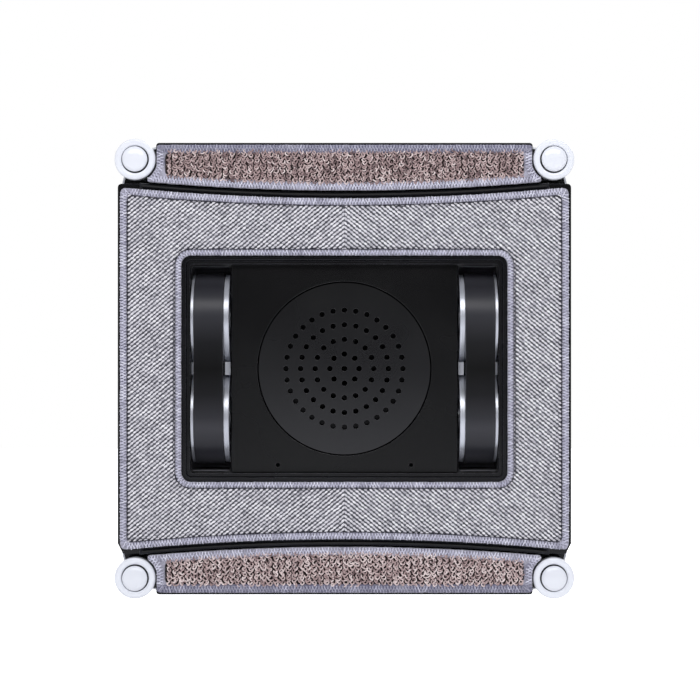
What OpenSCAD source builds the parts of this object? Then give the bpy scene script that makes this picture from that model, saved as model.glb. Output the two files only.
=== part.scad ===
// Square window cleaning robot that holds itself on a pane by suction.
// It is drawn as it sits on an upright pane. The glass is the plane Y = 0, the working side
// faces -Y, the body lies behind it along +Y and +Z points up the pane. The origin is the
// middle of the working side, on the glass.
// Most shapes are drawn in plan: X to the right, Y down the pane, and the depth from the
// glass as Z. The module on_glass() turns such a shape onto the pane. Sizes are millimetres.

/* [Body] */
// Width and height of the square body
body_w = 242.8; // [240:0.1:246]
// Radius of the four corners of the body
body_corner_r = 25; // [24:0.5:27]
// Depth from the glass to the flat back of the cover
body_depth = 68; // [67:0.5:76]
// Depth of the seam between the chassis and the cover
seam_depth = 22.5; // [22:0.1:23.5]
// Wall of the chassis and the cover
wall = 2.2; // [1.8:0.1:2.5]
// Width of the rounded shoulder of the cover
shoulder_w = 21; // [18:0.5:21.5]
// Rise of the rounded shoulder of the cover
shoulder_rise = 20; // [16:0.5:22]

/* [Cleaning pad] */
// Gap from the side of the body to the side of the pad
pad_inset = 1.7; // [0.8:0.05:2]
// Height of the pad at its middle, between its bowed edges
pad_h = 181.8; // [180:0.1:182.4]
// Rise of each bowed edge from the middle of the pad to its sides
pad_bow = 5.9; // [5.2:0.1:6.4]
// Thickness of the pad
pad_t = 4; // [3.7:0.1:4.6]
// Corner radius of the pad
pad_corner_r = 3; // [2:0.5:5]
// Width of the window in the pad
window_w = 174.2; // [174:0.1:177]
// Height of the window in the pad
window_h = 120.9; // [120:0.1:123]
// Corner radius of the window
window_r = 5; // [3:0.5:7]
// Width of the sewn binding round the pad's outer edge
binding_w = 3.75; // [3:0.05:4.5]
// Width of the sewn binding round the window
window_binding_w = 3.15; // [2.8:0.05:4]

/* [Strip pads] */
// Gap between the main pad and a strip pad at their middle
strip_gap = 4.1; // [4:0.05:4.6]
// Length of a strip pad
strip_w = 200.4; // [198:0.1:201]
// Thickness of a strip pad
strip_t = 3.5; // [3:0.1:3.7]
// Width of the binding round a strip pad
strip_binding_w = 4.6; // [4:0.1:5.2]

/* [Bumpers] */
// Travel of a bumper towards the middle of the robot
bumper_travel = 1.5; // [1:0.1:1.6]
// Distance from the middle of a bumper to its guide rods
guide_x = 60; // [58:0.5:62]
// Radius of a guide rod
guide_r = 2.5; // [2.3:0.05:2.7]

/* [Corner rollers] */
// Radius of a corner roller
roller_r = 11; // [10.6:0.05:11.2]
// Distance from the side of the body to the middle of a roller
roller_inset = 9.6; // [9.2:0.05:9.8]
// Length of a roller along its axis
roller_w = 8; // [7:0.1:8.2]
// Radius of the domed head of the edge sensor in a roller
sensor_r = 6.6; // [6.2:0.05:6.8]
// Travel of an edge sensor
sensor_travel = 2; // [1.4:0.1:2.1]

/* [Tracks] */
// Distance between the middles of the two belts
track_spacing = 145.1; // [144.6:0.1:145.6]
// Width of a belt
belt_w = 15.7; // [15:0.1:16]
// Thickness of a belt
belt_t = 2.2; // [1.8:0.1:2.6]
// Radius outside the belt where it turns round a wheel
belt_r = 25.2; // [24.8:0.1:25.4]
// Distance between the two axles of a track
wheel_base = 53.5; // [53.2:0.1:54]
// Radius of the wheel axles
axle_r = 3; // [2.6:0.05:3.2]

/* [Suction] */
// Radius of the vent grille
grille_r = 46.6; // [45:0.1:47]
// Radius of a vent hole
vent_r = 1.5; // [1.2:0.05:1.8]
// Distance between the rings of vent holes
vent_pitch = 7.86; // [7.2:0.01:8.4]
// Rings of vent holes round the middle one
vent_rings = 4; // [3:1:5]
// Radius of the fan impeller
fan_r = 40; // [37:0.5:42]
// Blades of the fan impeller
fan_blades = 11; // [7:1:13]

/* [Back] */
// Length of the handle, outside its feet
handle_span = 142; // [136:1:150]
// Height of the handle above the cover
handle_rise = 32; // [30:0.5:38]
// Width of the handle
handle_w = 27; // [24:0.5:30]
// Radius of the exhaust grille
exhaust_r = 47; // [44:0.5:48]
// Slots in the exhaust grille
exhaust_slots = 30; // [20:1:32]
// Radius of the start button
button_r = 9; // [8:0.1:9.5]
// Travel of the start button
button_travel = 0.8; // [0.5:0.1:1]
// Swing of the power rocker
rocker_swing = 14; // [10:1:16]

/* [Hidden] */
$fn = 96;

// Steps of a small corner, a large corner and a bowed edge
corner_steps = 6;
large_steps = 20;
bow_steps = 22;
// Extra length that takes a cut past a face
over = 1;
// Clearance of a shaft that runs in a hole, and of a piece that sits in an opening
run_gap = 0.07;
seat_gap = 0.2;
// Clearance between pieces that slide past each other
slide_gap = 0.3;

// Half sizes and the bow that every curved edge follows
half_w = body_w / 2;
corner_c = half_w - body_corner_r;
pad_half_w = half_w - pad_inset;
pad_mid = pad_h / 2;
bow_r = (pow(pad_half_w, 2) + pow(pad_bow, 2)) / (2 * pad_bow);
bow_centre = pad_mid + bow_r;

// Depths of the layers of the front, from the glass
hook_t = 1.5;
floor_t = 2.5;
plate_t = 2;
floor_front = pad_t + hook_t;
plate_front = floor_front + floor_t;
plate_back = plate_front + plate_t;

// Chassis edges: how far the floor reaches past the pad, and the bay that holds a bumper
floor_lap = 3.5;
tab_r = 2;
chamfer_w = 2.8;
chamfer_h = 5.5;
chassis_mid = pad_mid + floor_lap;
chassis_reach = half_w - roller_inset - roller_r - bumper_travel - run_gap - seat_gap;
deck_t = 2.5;
deck_step = 1.3;
deck_front = seam_depth - deck_t;
deck_band = 6.75;
deck_lap = 3.2;
lip_t = 1.2;
lip_h = 2.5;

// Rim round the window in the chassis floor
rim_gap = 0.7;
rim_front = 2.5;
rim_w = 1.6;
groove_w = 0.8;
ridge_w = 1.4;
ridge_front = 3.8;
rim_w_out = window_w - 2 * rim_gap;
rim_h_out = window_h - 2 * rim_gap;
floor_window_w = rim_w_out - 2 * (rim_w + groove_w + ridge_w);
floor_window_h = rim_h_out - 2 * (rim_w + groove_w + ridge_w);
rim_r = window_r - rim_gap;
floor_window_r = 2;
plate_lap = 3;
plate_half = floor_window_h / 2 + plate_lap;

// Tracks
track_x = track_spacing / 2;
axle_y = wheel_base / 2;
well_in = 11.35;
well_out = 9.75;
well_end = 3.15;
well_r = 2.2;
well_bevel = 0.8;
flange_gap = 0.3;
flange_in_t = 2.6;
flange_out_t = 1.4;
flange_drop = 0.8;
rim_t = 3;
hub_r = 8;
web_t = 4;
cheek_t = 2.4;
cheek_gap = 1.05;
hub_gap = 0.4;
bridge_gap = 0.8;
bridge_t = 2.3;
wheel_in = belt_w / 2 + flange_gap + flange_in_t;
wheel_out = belt_w / 2 + flange_gap + flange_out_t;
cheek_in = wheel_in + cheek_gap;
cheek_out = wheel_out + cheek_gap;
wheel_r = belt_r - belt_t - run_gap;
flange_r = belt_r - flange_drop;
bridge_front = 2 * belt_r + bridge_gap;
belt_half = axle_y + belt_r;
well_half = belt_half + well_end;
frame_back = bridge_front + bridge_t;
frame_cut = 9;
guide_rib_w = 7;
guide_rib_tip = 3;
guide_rib_front = 2;
guide_rib_reach = 0.35;
spoke_hole_r = 4;
spoke_holes = 6;

// Bumpers
bumper_mid = chassis_mid + bumper_travel + slide_gap;
strip_mid = pad_mid + strip_gap;
bumper_back = deck_front - slide_gap - seat_gap;
face_t = 2.5;
face_grow = 0.4;
face_lip = 0.8;
bar_inset = 0.5;
arm_front = 10;
arm_r = 3;
bumper_wall = 2;
rib_t = 2;
guide_depth = 15;
guide_boss_r = 5.6;
guide_boss_l = 11.8;
guide_pocket_r = 4.4;
guide_pocket_l = 8.4;
guide_stick = 0.6;
guide_rib = 6;
collar_r = 4.1;
collar_rise = 0.5;
switch_w = 12;
switch_l = 9;
switch_gap = 0.2;
nub_r = 1.2;
nub_l = 1.3;

// Strip pads: the flare of their ends and the clearance round a roller
flare_w = 4.8;
roller_clear = 1.1;
strip_corner_r = 1.6;
binding_front = 0.3;
core_r = 2;
strip_half = strip_w / 2;
strip_edge = 1.9;
strip_reach = half_w - strip_edge;
flare_x = strip_half + flare_w;

// Squeegees
blade_t = 0.8;
blade_front = 0.3;
rail_wall = 1.2;
rail_gap = 0.4;
blade_half = pad_half_w - 11.7;
rail_half = blade_half + 1.5;
blade_out = chassis_mid - rail_wall;
blade_in = blade_out - blade_t;
rail_in = blade_in - rail_wall;

// Corner rollers, their posts and the edge sensors
roller_x = half_w - roller_inset;
arm_reach = roller_x + 4.8;
arm_top = roller_x + 6.2;
bar_half = roller_x - 13.3;
roller_front = 1.5;
roller_back = roller_front + roller_w;
roller_round = 1.3;
post_r = 7.2;
post_front = 5.4;
post_lip = 0.75;
post_lip_t = 1.1;
post_floor = 2;
post_back = 18;
bore_gap = 0.1;
roller_bore = post_r + bore_gap;
lip_groove = 0.2;
skirt_r = 4.9;
skirt_wall = 1;
skirt_back = 10.5;
sensor_pocket_r = skirt_r + run_gap;
head_t = 3.2;
head_dome = 1.2;
head_round = 0.6;
head_floor = 1.4;

// Springs: wire radius and turns, with the rings and sides of their wire
bumper_wire_r = 0.4;
bumper_turns = 6;
sensor_wire_r = 0.25;
sensor_turns = 7;
button_wire_r = 0.3;
button_turns = 4;
coil_rings = 8;
coil_sides = 6;

// Vent grille and fan
grille_gap = 0.25;
grille_flange_w = 2.4;
grille_flange_t = 1;
grille_chamfer = 0.4;
vent_first = 8;
pinhole_r = 1.1;
pinhole_x = 35.7;
pinhole_inset = 4.2;
housing_front = plate_back + grille_flange_t;
housing_wall = 1.8;
housing_gap = 1.4;
housing_r = grille_r + housing_gap;
housing_l = 19;
housing_back = housing_front + housing_l;
impeller_front = housing_front + 2.2;
shroud_t = 1;
shroud_w = 14;
impeller_l = 13.5;
impeller_hub_r = 9;
blade_root_r = 14;
fan_blade_t = 1.2;
fan_sweep = 62;
fan_shaft_r = 2;
fan_shaft_l = 14;
motor_r = 17;
motor_l = 27;
motor_neck_r = 9;
outlet_r = 34;
outlet_w = 9;
outlet_count = 8;
outlet_web = 5;

// Drive motors
gearbox_t = 10;
gearbox_h = 26;
gearbox_front = 3;
gearbox_back = 57;
gearbox_r = 3;
can_r = 12;
can_l = 28;
can_depth = 44.5;
can_flat = 2;

// Screws between the chassis and the cover
screw_inset = 12.75;
screw_pitch = 80;
screw_r = 1.5;
screw_l = 24;
screw_head_r = 2.9;
screw_head_t = 2;
screw_recess = 1;
screw_hole_gap = 0.2;
boss_r = 4.5;
boss_top = 1.5;
cover_boss_r = 4;
boss_gap = 0.1;
pilot_extra = 2;

// Battery and main board
cell_r = 9.2;
cell_l = 65;
cell_pitch = 19;
cell_gap = 2;
battery_depth = 42;
battery_case = 1.6;
battery_y = -(well_half + cheek_t + slide_gap + cell_pitch / 2 + cell_r + battery_case);
rib_x = 40;
rib_w = 2;
board_depth = 40;
board_t = 1.6;
board_w = 112;
board_h = 34;
board_y = plate_half + board_h / 2;
board_post_r = 3;
board_post_inset = 6;

// Back fittings
exhaust_drop = 1.2;
exhaust_flange_w = 3;
exhaust_flange_t = 1.5;
exhaust_hub = 13;
exhaust_ring = 28;
exhaust_rim = 3.5;
exhaust_ring_t = 2.2;
exhaust_slot_w = 2.1;
exhaust_slot_in = 1.4;
exhaust_sweep = 26;
exhaust_sweep_out = 17;
handle_t = 10;
handle_foot = 15;
handle_r = 22;
handle_in_r = 13;
handle_edge = 5;
grip_l = 76;
grip_w = 15;
grip_r = 6;
grip_sink = 0.8;
grip_proud = 0.7;
button_y = 72;
button_proud = 0.9;
button_cap_t = 4;
bezel_w = 2.6;
bezel_t = 1.1;
cup_wall = 1.7;
cup_l = 10;
cup_floor = 2;
stem_r = 2.5;
stop_r = 3.3;
stop_t = 1.2;
stop_gap = 0.1;
press_gap = 0.2;
tact_t = 5.5;
tact_r = 1.7;
light_y = 55;
light_w = 16;
light_h = 3;
light_r = 1.2;
light_lap = 1.5;
light_proud = 0.3;
fitting_x = 58;
fitting_y = 66;
socket_r = 7.8;
socket_flange_r = 10;
socket_flange_t = 1.2;
socket_l = 18;
socket_bore_r = 5;
socket_bore_l = 10;
pin_well_r = 4.2;
pin_well_l = 4;
contact_r = 0.6;
contact_ring = 2.2;
contacts = 3;
lug_base_w = 22;
lug_base_h = 16;
lug_base_t = 2.5;
lug_t = 5;
lug_eye_r = 3.2;
lug_r = 7;
lug_rise = 9;
rocker_y = 72;
rocker_w = 12;
rocker_h = 20;
rocker_l = 16;
rocker_rim = 2.2;
rocker_rim_t = 1.2;
rocker_wall = 1.5;
rocker_r = 1;
rocker_pin_r = 1.5;
rocker_pivot = 1.5;
rocker_proud = 1.2;
rocker_gap = 0.3;

// Steps from a to b, both included
function span(a, b, n) = [for (i = [0:n]) a + (b - a) * i / n];

// The same list, last entry first
function flip(list) = [for (i = [len(list) - 1:-1:0]) list[i]];

// The four copies of a quarter outline, which runs from the Y axis to the X axis
function all_round(q) = concat(
    q,
    [for (p = flip(q)) [p[0], -p[1]]],
    [for (p = q) [-p[0], -p[1]]],
    [for (p = flip(q)) [-p[0], p[1]]]
);

// A quarter of a round corner, from 90 degrees to 0
function corner(cx, cy, r, n = corner_steps) =
    [for (a = span(90, 0, n)) [cx + r * cos(a), cy + r * sin(a)]];

// Height at x of the bowed edge whose middle is at mid, and the x where it reaches y
function bow_y(x, mid) = bow_centre - sqrt(pow(bow_centre - mid, 2) - x * x);
function bow_x(y, mid) = sqrt(pow(bow_centre - mid, 2) - pow(bow_centre - y, 2));

// Points of a bowed edge from near the Y axis to x_end
function bow(x_end, mid, n = bow_steps) = [for (i = [1:n]) [x_end * i / n, bow_y(x_end * i / n, mid)]];

// Outline of a rectangle with round corners
function round_rect(w, h, r, n = corner_steps) = all_round(corner(w / 2 - r, h / 2 - r, r, n));

// Outline of the main pad, drawn in by a margin
function pad_outline(margin) =
    let (hw = pad_half_w - margin, mid = pad_mid - margin, r = pad_corner_r, x = hw - r)
    all_round(concat(bow(x, mid), corner(x, bow_y(x, mid) - r, r)));

// Outline of the pad's window, let out by a margin
function window_outline(margin) =
    round_rect(window_w + 2 * margin, window_h + 2 * margin, window_r + margin);

// Outline of the chassis floor, drawn in by a margin
function chassis_outline(margin) =
    let (hw = half_w - margin, mid = chassis_mid - margin, top = chassis_reach - margin)
    all_round(concat(bow(bow_x(top, mid), mid), corner(hw - tab_r, top - tab_r, tab_r)));

// A band between two bowed edges, which ends at x_end
function bow_band(mid_in, mid_out, x_end) =
    let (inner = bow(x_end, mid_in), outer = bow(x_end, mid_out))
    concat(
        inner,
        flip(outer),
        [for (p = outer) [-p[0], p[1]]],
        [for (p = flip(inner)) [-p[0], p[1]]]
    );

// A shape that is the same left and right, from its right half
function left_right(half) = concat(half, [for (p = flip(half)) [-p[0], p[1]]]);

// Outline of a strip pad with its inner edge at mid, its other edges moved out by grow
function strip_outline(mid, grow, lip = 0) =
    let (
        clear = roller_r + roller_clear - grow,
        fx = flare_x + grow,
        sx = strip_half + grow,
        top = strip_reach + grow + lip,
        a = 180 + acos((roller_x - fx) / clear),
        b = 180 + acos((roller_x - sx) / clear)
    )
    left_right(concat(
        bow(fx, mid),
        [for (t = span(a, b, corner_steps)) [roller_x + clear * cos(t), roller_x + clear * sin(t)]],
        flip(corner(sx - strip_corner_r, top - strip_corner_r, strip_corner_r))
    ));

// Outline of the pile in a strip pad, inside its binding
function strip_core() =
    let (
        mid = strip_mid + strip_binding_w,
        x = strip_half - strip_binding_w - core_r,
        y = bow_y(x, mid) + core_r,
        top = strip_reach - strip_binding_w
    )
    left_right(concat(
        bow(x, mid),
        [for (a = span(-90, 0, corner_steps)) [x + core_r * cos(a), y + core_r * sin(a)]],
        flip(corner(x, top - core_r, core_r))
    ));

// A curved blade or slot that sweeps round the middle from radius r0 to r1
function swept(r0, r1, sweep, t, n = 10) =
    let (line = [for (i = [0:n]) let (r = r0 + (r1 - r0) * i / n, s = ln(r / r0) / ln(r1 / r0))
            [r, sweep * s, t / 2 / r * 180 / PI]])
    concat(
        [for (p = line) p[0] * [cos(p[1] + p[2]), sin(p[1] + p[2])]],
        [for (p = flip(line)) p[0] * [cos(p[1] - p[2]), sin(p[1] - p[2])]]
    );

// Turns a shape drawn in plan onto the pane
module on_glass() {
    rotate([-90, 0, 0]) children();
}

// A prism from depth z, of thickness t
module prism(points, z, t) {
    translate([0, 0, z]) linear_extrude(t) polygon(points);
}

// A prism between an outer and an inner outline
module ring_prism(outer, inner, z, t) {
    difference() {
        prism(outer, z, t);
        prism(inner, z - over, t + 2 * over);
    }
}

// A shape drawn in Y and depth, drawn out along X from x
module along_x(x, t) {
    translate([x, 0, 0]) rotate([90, 0, 90]) linear_extrude(t) children();
}

// A shape drawn in X and depth, drawn out along Y from y
module along_y(y, t) {
    translate([0, y + t, 0]) rotate([90, 0, 0]) linear_extrude(t) children();
}

// The same shape to the right and mirrored to the left, or at the bottom and mirrored to the top
module both_sides() {
    children();
    mirror([1, 0, 0]) children();
}
module side(s) {
    if (s > 0) children();
    else mirror([1, 0, 0]) children();
}
module end(s) {
    if (s > 0) children();
    else mirror([0, 1, 0]) children();
}

// A round bar along Y
module bar_y(x, y0, y1, z, r) {
    translate([x, y0, z]) rotate([-90, 0, 0]) cylinder(r = r, h = y1 - y0);
}

// A helical spring along Z, with its wire's ends resting on both seats
function coil_point(r, wire_r, length, turns, i, j) =
    let (
        t = 360 * i / coil_rings,
        b = 360 * j / coil_sides,
        z = wire_r + (length - 2 * wire_r) * i / (turns * coil_rings)
    )
    [(r + wire_r * cos(b)) * cos(t), (r + wire_r * cos(b)) * sin(t), z + wire_r * sin(b)];
module coil_spring(r, wire_r, length, turns) {
    n = turns * coil_rings;
    m = coil_sides;
    points = [for (i = [0:n]) for (j = [0:m - 1]) coil_point(r, wire_r, length, turns, i, j)];
    skin = [for (i = [0:n - 1]) for (j = [0:m - 1]) for (half = [0, 1])
        half == 0
        ? [i * m + j, i * m + (j + 1) % m, (i + 1) * m + j]
        : [i * m + (j + 1) % m, (i + 1) * m + (j + 1) % m, (i + 1) * m + j]];
    first = [for (j = [1:m - 2]) [0, j + 1, j]];
    last = [for (j = [1:m - 2]) [n * m, n * m + j, n * m + j + 1]];
    polyhedron(points = points, faces = concat(skin, first, last));
}

// Least gap between neighbouring turns of a spring
function coil_gap(wire_r, length, turns) = (length - 2 * wire_r) / turns - 2 * wire_r;

// The body's outer form from the seam to the back, or its inside with a margin of t
module body_form(t) {
    front = t > 0 ? seam_depth - over : seam_depth;
    inner_x = body_corner_r - wall / 3 - shoulder_w;
    rise_z = body_depth - shoulder_rise;
    arc = [for (a = span(0, 90, 12))
        [inner_x + (shoulder_w - t) * cos(a), rise_z + (shoulder_rise - t) * sin(a)]];
    profile = concat([[0, front], [body_corner_r - t, front]], arc, [[0, body_depth - t]]);
    for (a = [0, 90, 180, 270]) rotate(a) {
        translate([corner_c, corner_c, 0]) rotate_extrude(angle = 90, $fn = 128) polygon(profile);
        translate([corner_c, 0, 0]) along_y(-corner_c, 2 * corner_c) polygon(profile);
    }
    translate([-corner_c, -corner_c, front]) cube([2 * corner_c, 2 * corner_c, body_depth - t - front]);
}

// Well in the base plate that a belt comes through, with a bevelled lip
module track_well(s) {
    x0 = track_x - well_in;
    w = well_in + well_out;
    h = 2 * well_half;
    side(s) translate([x0 + w / 2, 0, 0]) {
        prism(round_rect(w, h, well_r), plate_front - over, plate_t + 2 * over);
        intersection() {
            along_y(-h, 2 * h) polygon([
                [-w / 2 - 2 * well_bevel, plate_front - well_bevel],
                [w / 2 + 2 * well_bevel, plate_front - well_bevel],
                [w / 2, plate_front + well_bevel],
                [-w / 2, plate_front + well_bevel]
            ]);
            along_x(-w, 2 * w) polygon([
                [-h / 2 - 2 * well_bevel, plate_front - well_bevel],
                [h / 2 + 2 * well_bevel, plate_front - well_bevel],
                [h / 2, plate_front + well_bevel],
                [-h / 2, plate_front + well_bevel]
            ]);
        }
    }
}

// Plate at the bottom of the suction chamber
module base_plate() {
    w = floor_window_w + 2 * plate_lap;
    h = 2 * plate_half;
    color("#17181a") on_glass() difference() {
        prism(round_rect(w, h, floor_window_r), plate_front, plate_t);
        translate([0, 0, plate_front - over]) cylinder(r = grille_r + grille_gap, h = plate_t + 2 * over);
        for (s = [-1, 1]) track_well(s);
        for (s = [-1, 1])
            translate([s * pinhole_x, floor_window_h / 2 - pinhole_inset, plate_front - over])
                cylinder(r = pinhole_r, h = plate_t + 2 * over, $fn = 24);
    }
}

// Round grille over the fan inlet, held by a flange behind the base plate
module vent_grille() {
    color("#1f2022") on_glass() difference() {
        translate([0, 0, plate_front]) rotate_extrude() polygon([
            [0, 0],
            [grille_r - grille_chamfer, 0],
            [grille_r, grille_chamfer],
            [grille_r, plate_t],
            [grille_r + grille_flange_w, plate_t],
            [grille_r + grille_flange_w, plate_t + grille_flange_t],
            [0, plate_t + grille_flange_t]
        ]);
        translate([0, 0, plate_front - over]) linear_extrude(plate_t + grille_flange_t + 2 * over) {
            circle(r = vent_r, $fn = 24);
            for (k = [1:vent_rings]) for (i = [1:vent_first * k])
                rotate(90 + 360 * i / (vent_first * k)) translate([k * vent_pitch, 0])
                    circle(r = vent_r, $fn = 24);
        }
    }
}

// Chassis: the floor with its rim, the side walls, the deck behind the bumpers and its bosses
module chassis_tub() {
    floor_window = round_rect(floor_window_w, floor_window_h, floor_window_r);
    color("#1b1c1f") on_glass() difference() {
        union() {
            ring_prism(chassis_outline(0), floor_window, floor_front, floor_t);
            ring_prism(
                round_rect(rim_w_out, rim_h_out, rim_r),
                round_rect(rim_w_out - 2 * rim_w, rim_h_out - 2 * rim_w, rim_r - rim_w),
                rim_front, floor_front - rim_front
            );
            ring_prism(
                round_rect(floor_window_w + 2 * ridge_w, floor_window_h + 2 * ridge_w, floor_window_r),
                floor_window,
                ridge_front, floor_front - ridge_front
            );
            ring_prism(chassis_outline(0), chassis_outline(wall), plate_front, deck_front - plate_front);
            guide_bosses();
            screw_bosses();
            battery_ribs();
            board_post(-1, plate_front - floor_t / 2);
        }
        for (s = [-1, 1]) corner_chamfer(s);
        guide_holes();
        screw_holes();
    }
}

// Deck that closes the chassis wall and carries the cover, with two of the board's posts
deck_in = chassis_mid - wall - deck_lap;
module chassis_deck() {
    w = body_w - 2 * deck_step;
    color("#1b1c1f") on_glass() {
        ring_prism(
            round_rect(w, w, body_corner_r - deck_step, large_steps),
            round_rect(body_w - 2 * deck_band, 2 * deck_in, boss_r),
            deck_front, deck_t
        );
        deck_lip();
        board_post(1, deck_front + deck_t / 2);
    }
}

// Lip on the deck that the cover fits over
module deck_lip() {
    w = body_w - 2 * (wall + seat_gap);
    r = body_corner_r - wall - seat_gap;
    ring_prism(
        round_rect(w, w, r, large_steps),
        round_rect(w - 2 * lip_t, w - 2 * lip_t, r - lip_t, large_steps),
        seam_depth, lip_h
    );
}

// Cut that slants a lower corner of the chassis in front of the deck
module corner_chamfer(s) {
    side(s) translate([half_w, chassis_reach, 0]) prism(
        [[-chamfer_w, over], [-chamfer_w, 0], [0, -chamfer_h], [over, -chamfer_h], [over, over]],
        floor_front - over, deck_front - floor_front + over
    );
}

// Bosses for the bumpers' guide rods, and their bores and spring pockets
module guide_bosses() {
    y = bow_y(guide_x - guide_boss_r, chassis_mid) - wall / 2;
    difference() {
        for (t = [-1, 1]) for (s = [-1, 1])
            side(s) end(t) bar_y(guide_x, y - guide_boss_l, y, guide_depth, guide_boss_r);
        translate([-half_w, -half_w, deck_front]) cube([body_w, body_w, seam_depth]);
    }
}
function guide_pocket_y() = bow_y(guide_x, chassis_mid) - wall / 2 - guide_pocket_l;
module guide_holes() {
    y = bow_y(guide_x, chassis_mid);
    for (t = [-1, 1]) for (s = [-1, 1]) side(s) end(t) {
        bar_y(guide_x, y - guide_boss_l - wall - over, y, guide_depth, guide_r + run_gap);
        bar_y(guide_x, guide_pocket_y(), y + over, guide_depth, guide_pocket_r);
    }
}

// Places of the screws that hold the cover on the chassis
module at_screws() {
    for (s = [-1, 1]) for (y = [-screw_pitch, 0, screw_pitch])
        translate([s * (half_w - screw_inset), y, 0]) children();
}
head_seat = floor_front + screw_recess + screw_head_t;
boss_back = seam_depth + boss_top;
module screw_bosses() {
    at_screws() translate([0, 0, plate_front - floor_t / 2])
        cylinder(r = boss_r, h = boss_back - plate_front + floor_t / 2, $fn = 48);
}
module screw_holes() {
    at_screws() {
        translate([0, 0, floor_front - over])
            cylinder(r = screw_head_r + slide_gap, h = head_seat - floor_front + over, $fn = 32);
        translate([0, 0, floor_front])
            cylinder(r = screw_r + screw_hole_gap, h = boss_back - floor_front + over, $fn = 32);
    }
}

// Ribs that the battery lies on, and the posts that carry the board
module battery_ribs() {
    h = battery_depth - cell_r - battery_case - plate_front;
    y = slide_gap - deck_in;
    for (s = [-1, 1])
        translate([s * rib_x - rib_w / 2, y, plate_front - floor_t / 2])
            cube([rib_w, -plate_half - slide_gap - y, h + floor_t / 2]);
}
module board_post(t, foot) {
    y = board_y + t * (board_h / 2 - board_post_r - slide_gap);
    for (s = [-1, 1])
        translate([s * (board_w / 2 - board_post_inset), y, foot])
            cylinder(r = board_post_r, h = board_depth - foot, $fn = 32);
}

// Hook board that the main pad clings to
module pad_hook_board() {
    color("#2c2d31") on_glass() ring_prism(
        pad_outline(binding_w / 2),
        window_outline(window_binding_w / 2),
        pad_t, hook_t
    );
}

// Main cleaning pad, and the sewn binding round its outer edge and its window
module main_pad() {
    color("#a9a8ad") on_glass() ring_prism(
        pad_outline(binding_w),
        window_outline(window_binding_w),
        0, pad_t
    );
}
module main_pad_binding() {
    color("#aeabc0") on_glass() {
        ring_prism(pad_outline(0), pad_outline(binding_w), binding_front, pad_t - binding_front);
        ring_prism(
            window_outline(window_binding_w),
            window_outline(0),
            binding_front, pad_t - binding_front
        );
    }
}

// Squeegee blade and its rail, along a bowed edge of the chassis
module squeegee_blade(t) {
    color("#26272a") on_glass() end(t)
        prism(bow_band(blade_in, blade_out, blade_half), blade_front, floor_front - blade_front);
}
module squeegee_rail(t) {
    front = strip_t + rail_gap;
    color("#2f3034") on_glass() end(t) difference() {
        prism(bow_band(rail_in, chassis_mid, rail_half), front, floor_front - front);
        prism(bow_band(blade_in, blade_out, blade_half), front - over, floor_front - front + 2 * over);
    }
}
module top_squeegee_blade() squeegee_blade(-1);
module bottom_squeegee_blade() squeegee_blade(1);
module top_squeegee_rail() squeegee_rail(-1);
module bottom_squeegee_rail() squeegee_rail(1);

// Cover over the back, with its screw bosses and the cup that guides the start button
module back_cover() {
    back = body_depth - wall;
    color("#eef0f4") on_glass() difference() {
        union() {
            difference() {
                body_form(0);
                body_form(wall);
            }
            intersection() {
                body_form(0);
                at_screws() translate([0, 0, boss_back + boss_gap])
                    cylinder(r = cover_boss_r, h = body_depth - boss_back - boss_gap, $fn = 48);
            }
            translate([0, button_y, body_depth - wall / 2 - cup_l])
                cylinder(r = button_r + slide_gap + cup_wall, h = cup_l);
        }
        at_screws() translate([0, 0, boss_back])
            cylinder(r = screw_r, h = screw_l + pilot_extra + head_seat - boss_back, $fn = 32);
        translate([0, 0, back - over]) cylinder(r = exhaust_r + seat_gap, h = wall + 2 * over, $fn = 128);
        translate([0, button_y, body_depth - wall / 2 - cup_l + cup_floor])
            cylinder(r = button_r + slide_gap, h = cup_l + over);
        translate([0, button_y, body_depth - wall / 2 - cup_l - over])
            cylinder(r = stem_r + run_gap, h = cup_floor + 2 * over, $fn = 48);
        translate([0, light_y, 0])
            prism(light_outline(seat_gap), back - over, wall + 2 * over);
        translate([-fitting_x, -fitting_y, back - over])
            cylinder(r = socket_r + seat_gap, h = wall + 2 * over);
        translate([fitting_x, rocker_y, 0])
            prism(rocker_outline(rocker_wall + seat_gap / 2), back - over, wall + 2 * over);
    }
}

// Exhaust grille: a disc of curved slots in two rings, held by a flange behind the cover
module exhaust_grille() {
    back = body_depth - exhaust_drop;
    front = body_depth - wall - exhaust_flange_t;
    color("#232427") on_glass() difference() {
        translate([0, 0, front]) rotate_extrude($fn = 128) polygon([
            [0, 0],
            [exhaust_r + exhaust_flange_w, 0],
            [exhaust_r + exhaust_flange_w, exhaust_flange_t],
            [exhaust_r, exhaust_flange_t],
            [exhaust_r, back - front],
            [0, back - front]
        ]);
        translate([0, 0, front - over]) linear_extrude(back - front + 2 * over)
            for (i = [1:exhaust_slots]) rotate(360 * i / exhaust_slots) {
                polygon(swept(exhaust_hub, exhaust_ring - exhaust_ring_t, exhaust_sweep, exhaust_slot_in));
                rotate(exhaust_sweep)
                    polygon(swept(exhaust_ring, exhaust_r - exhaust_rim, exhaust_sweep_out, exhaust_slot_w));
            }
    }
}

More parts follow.
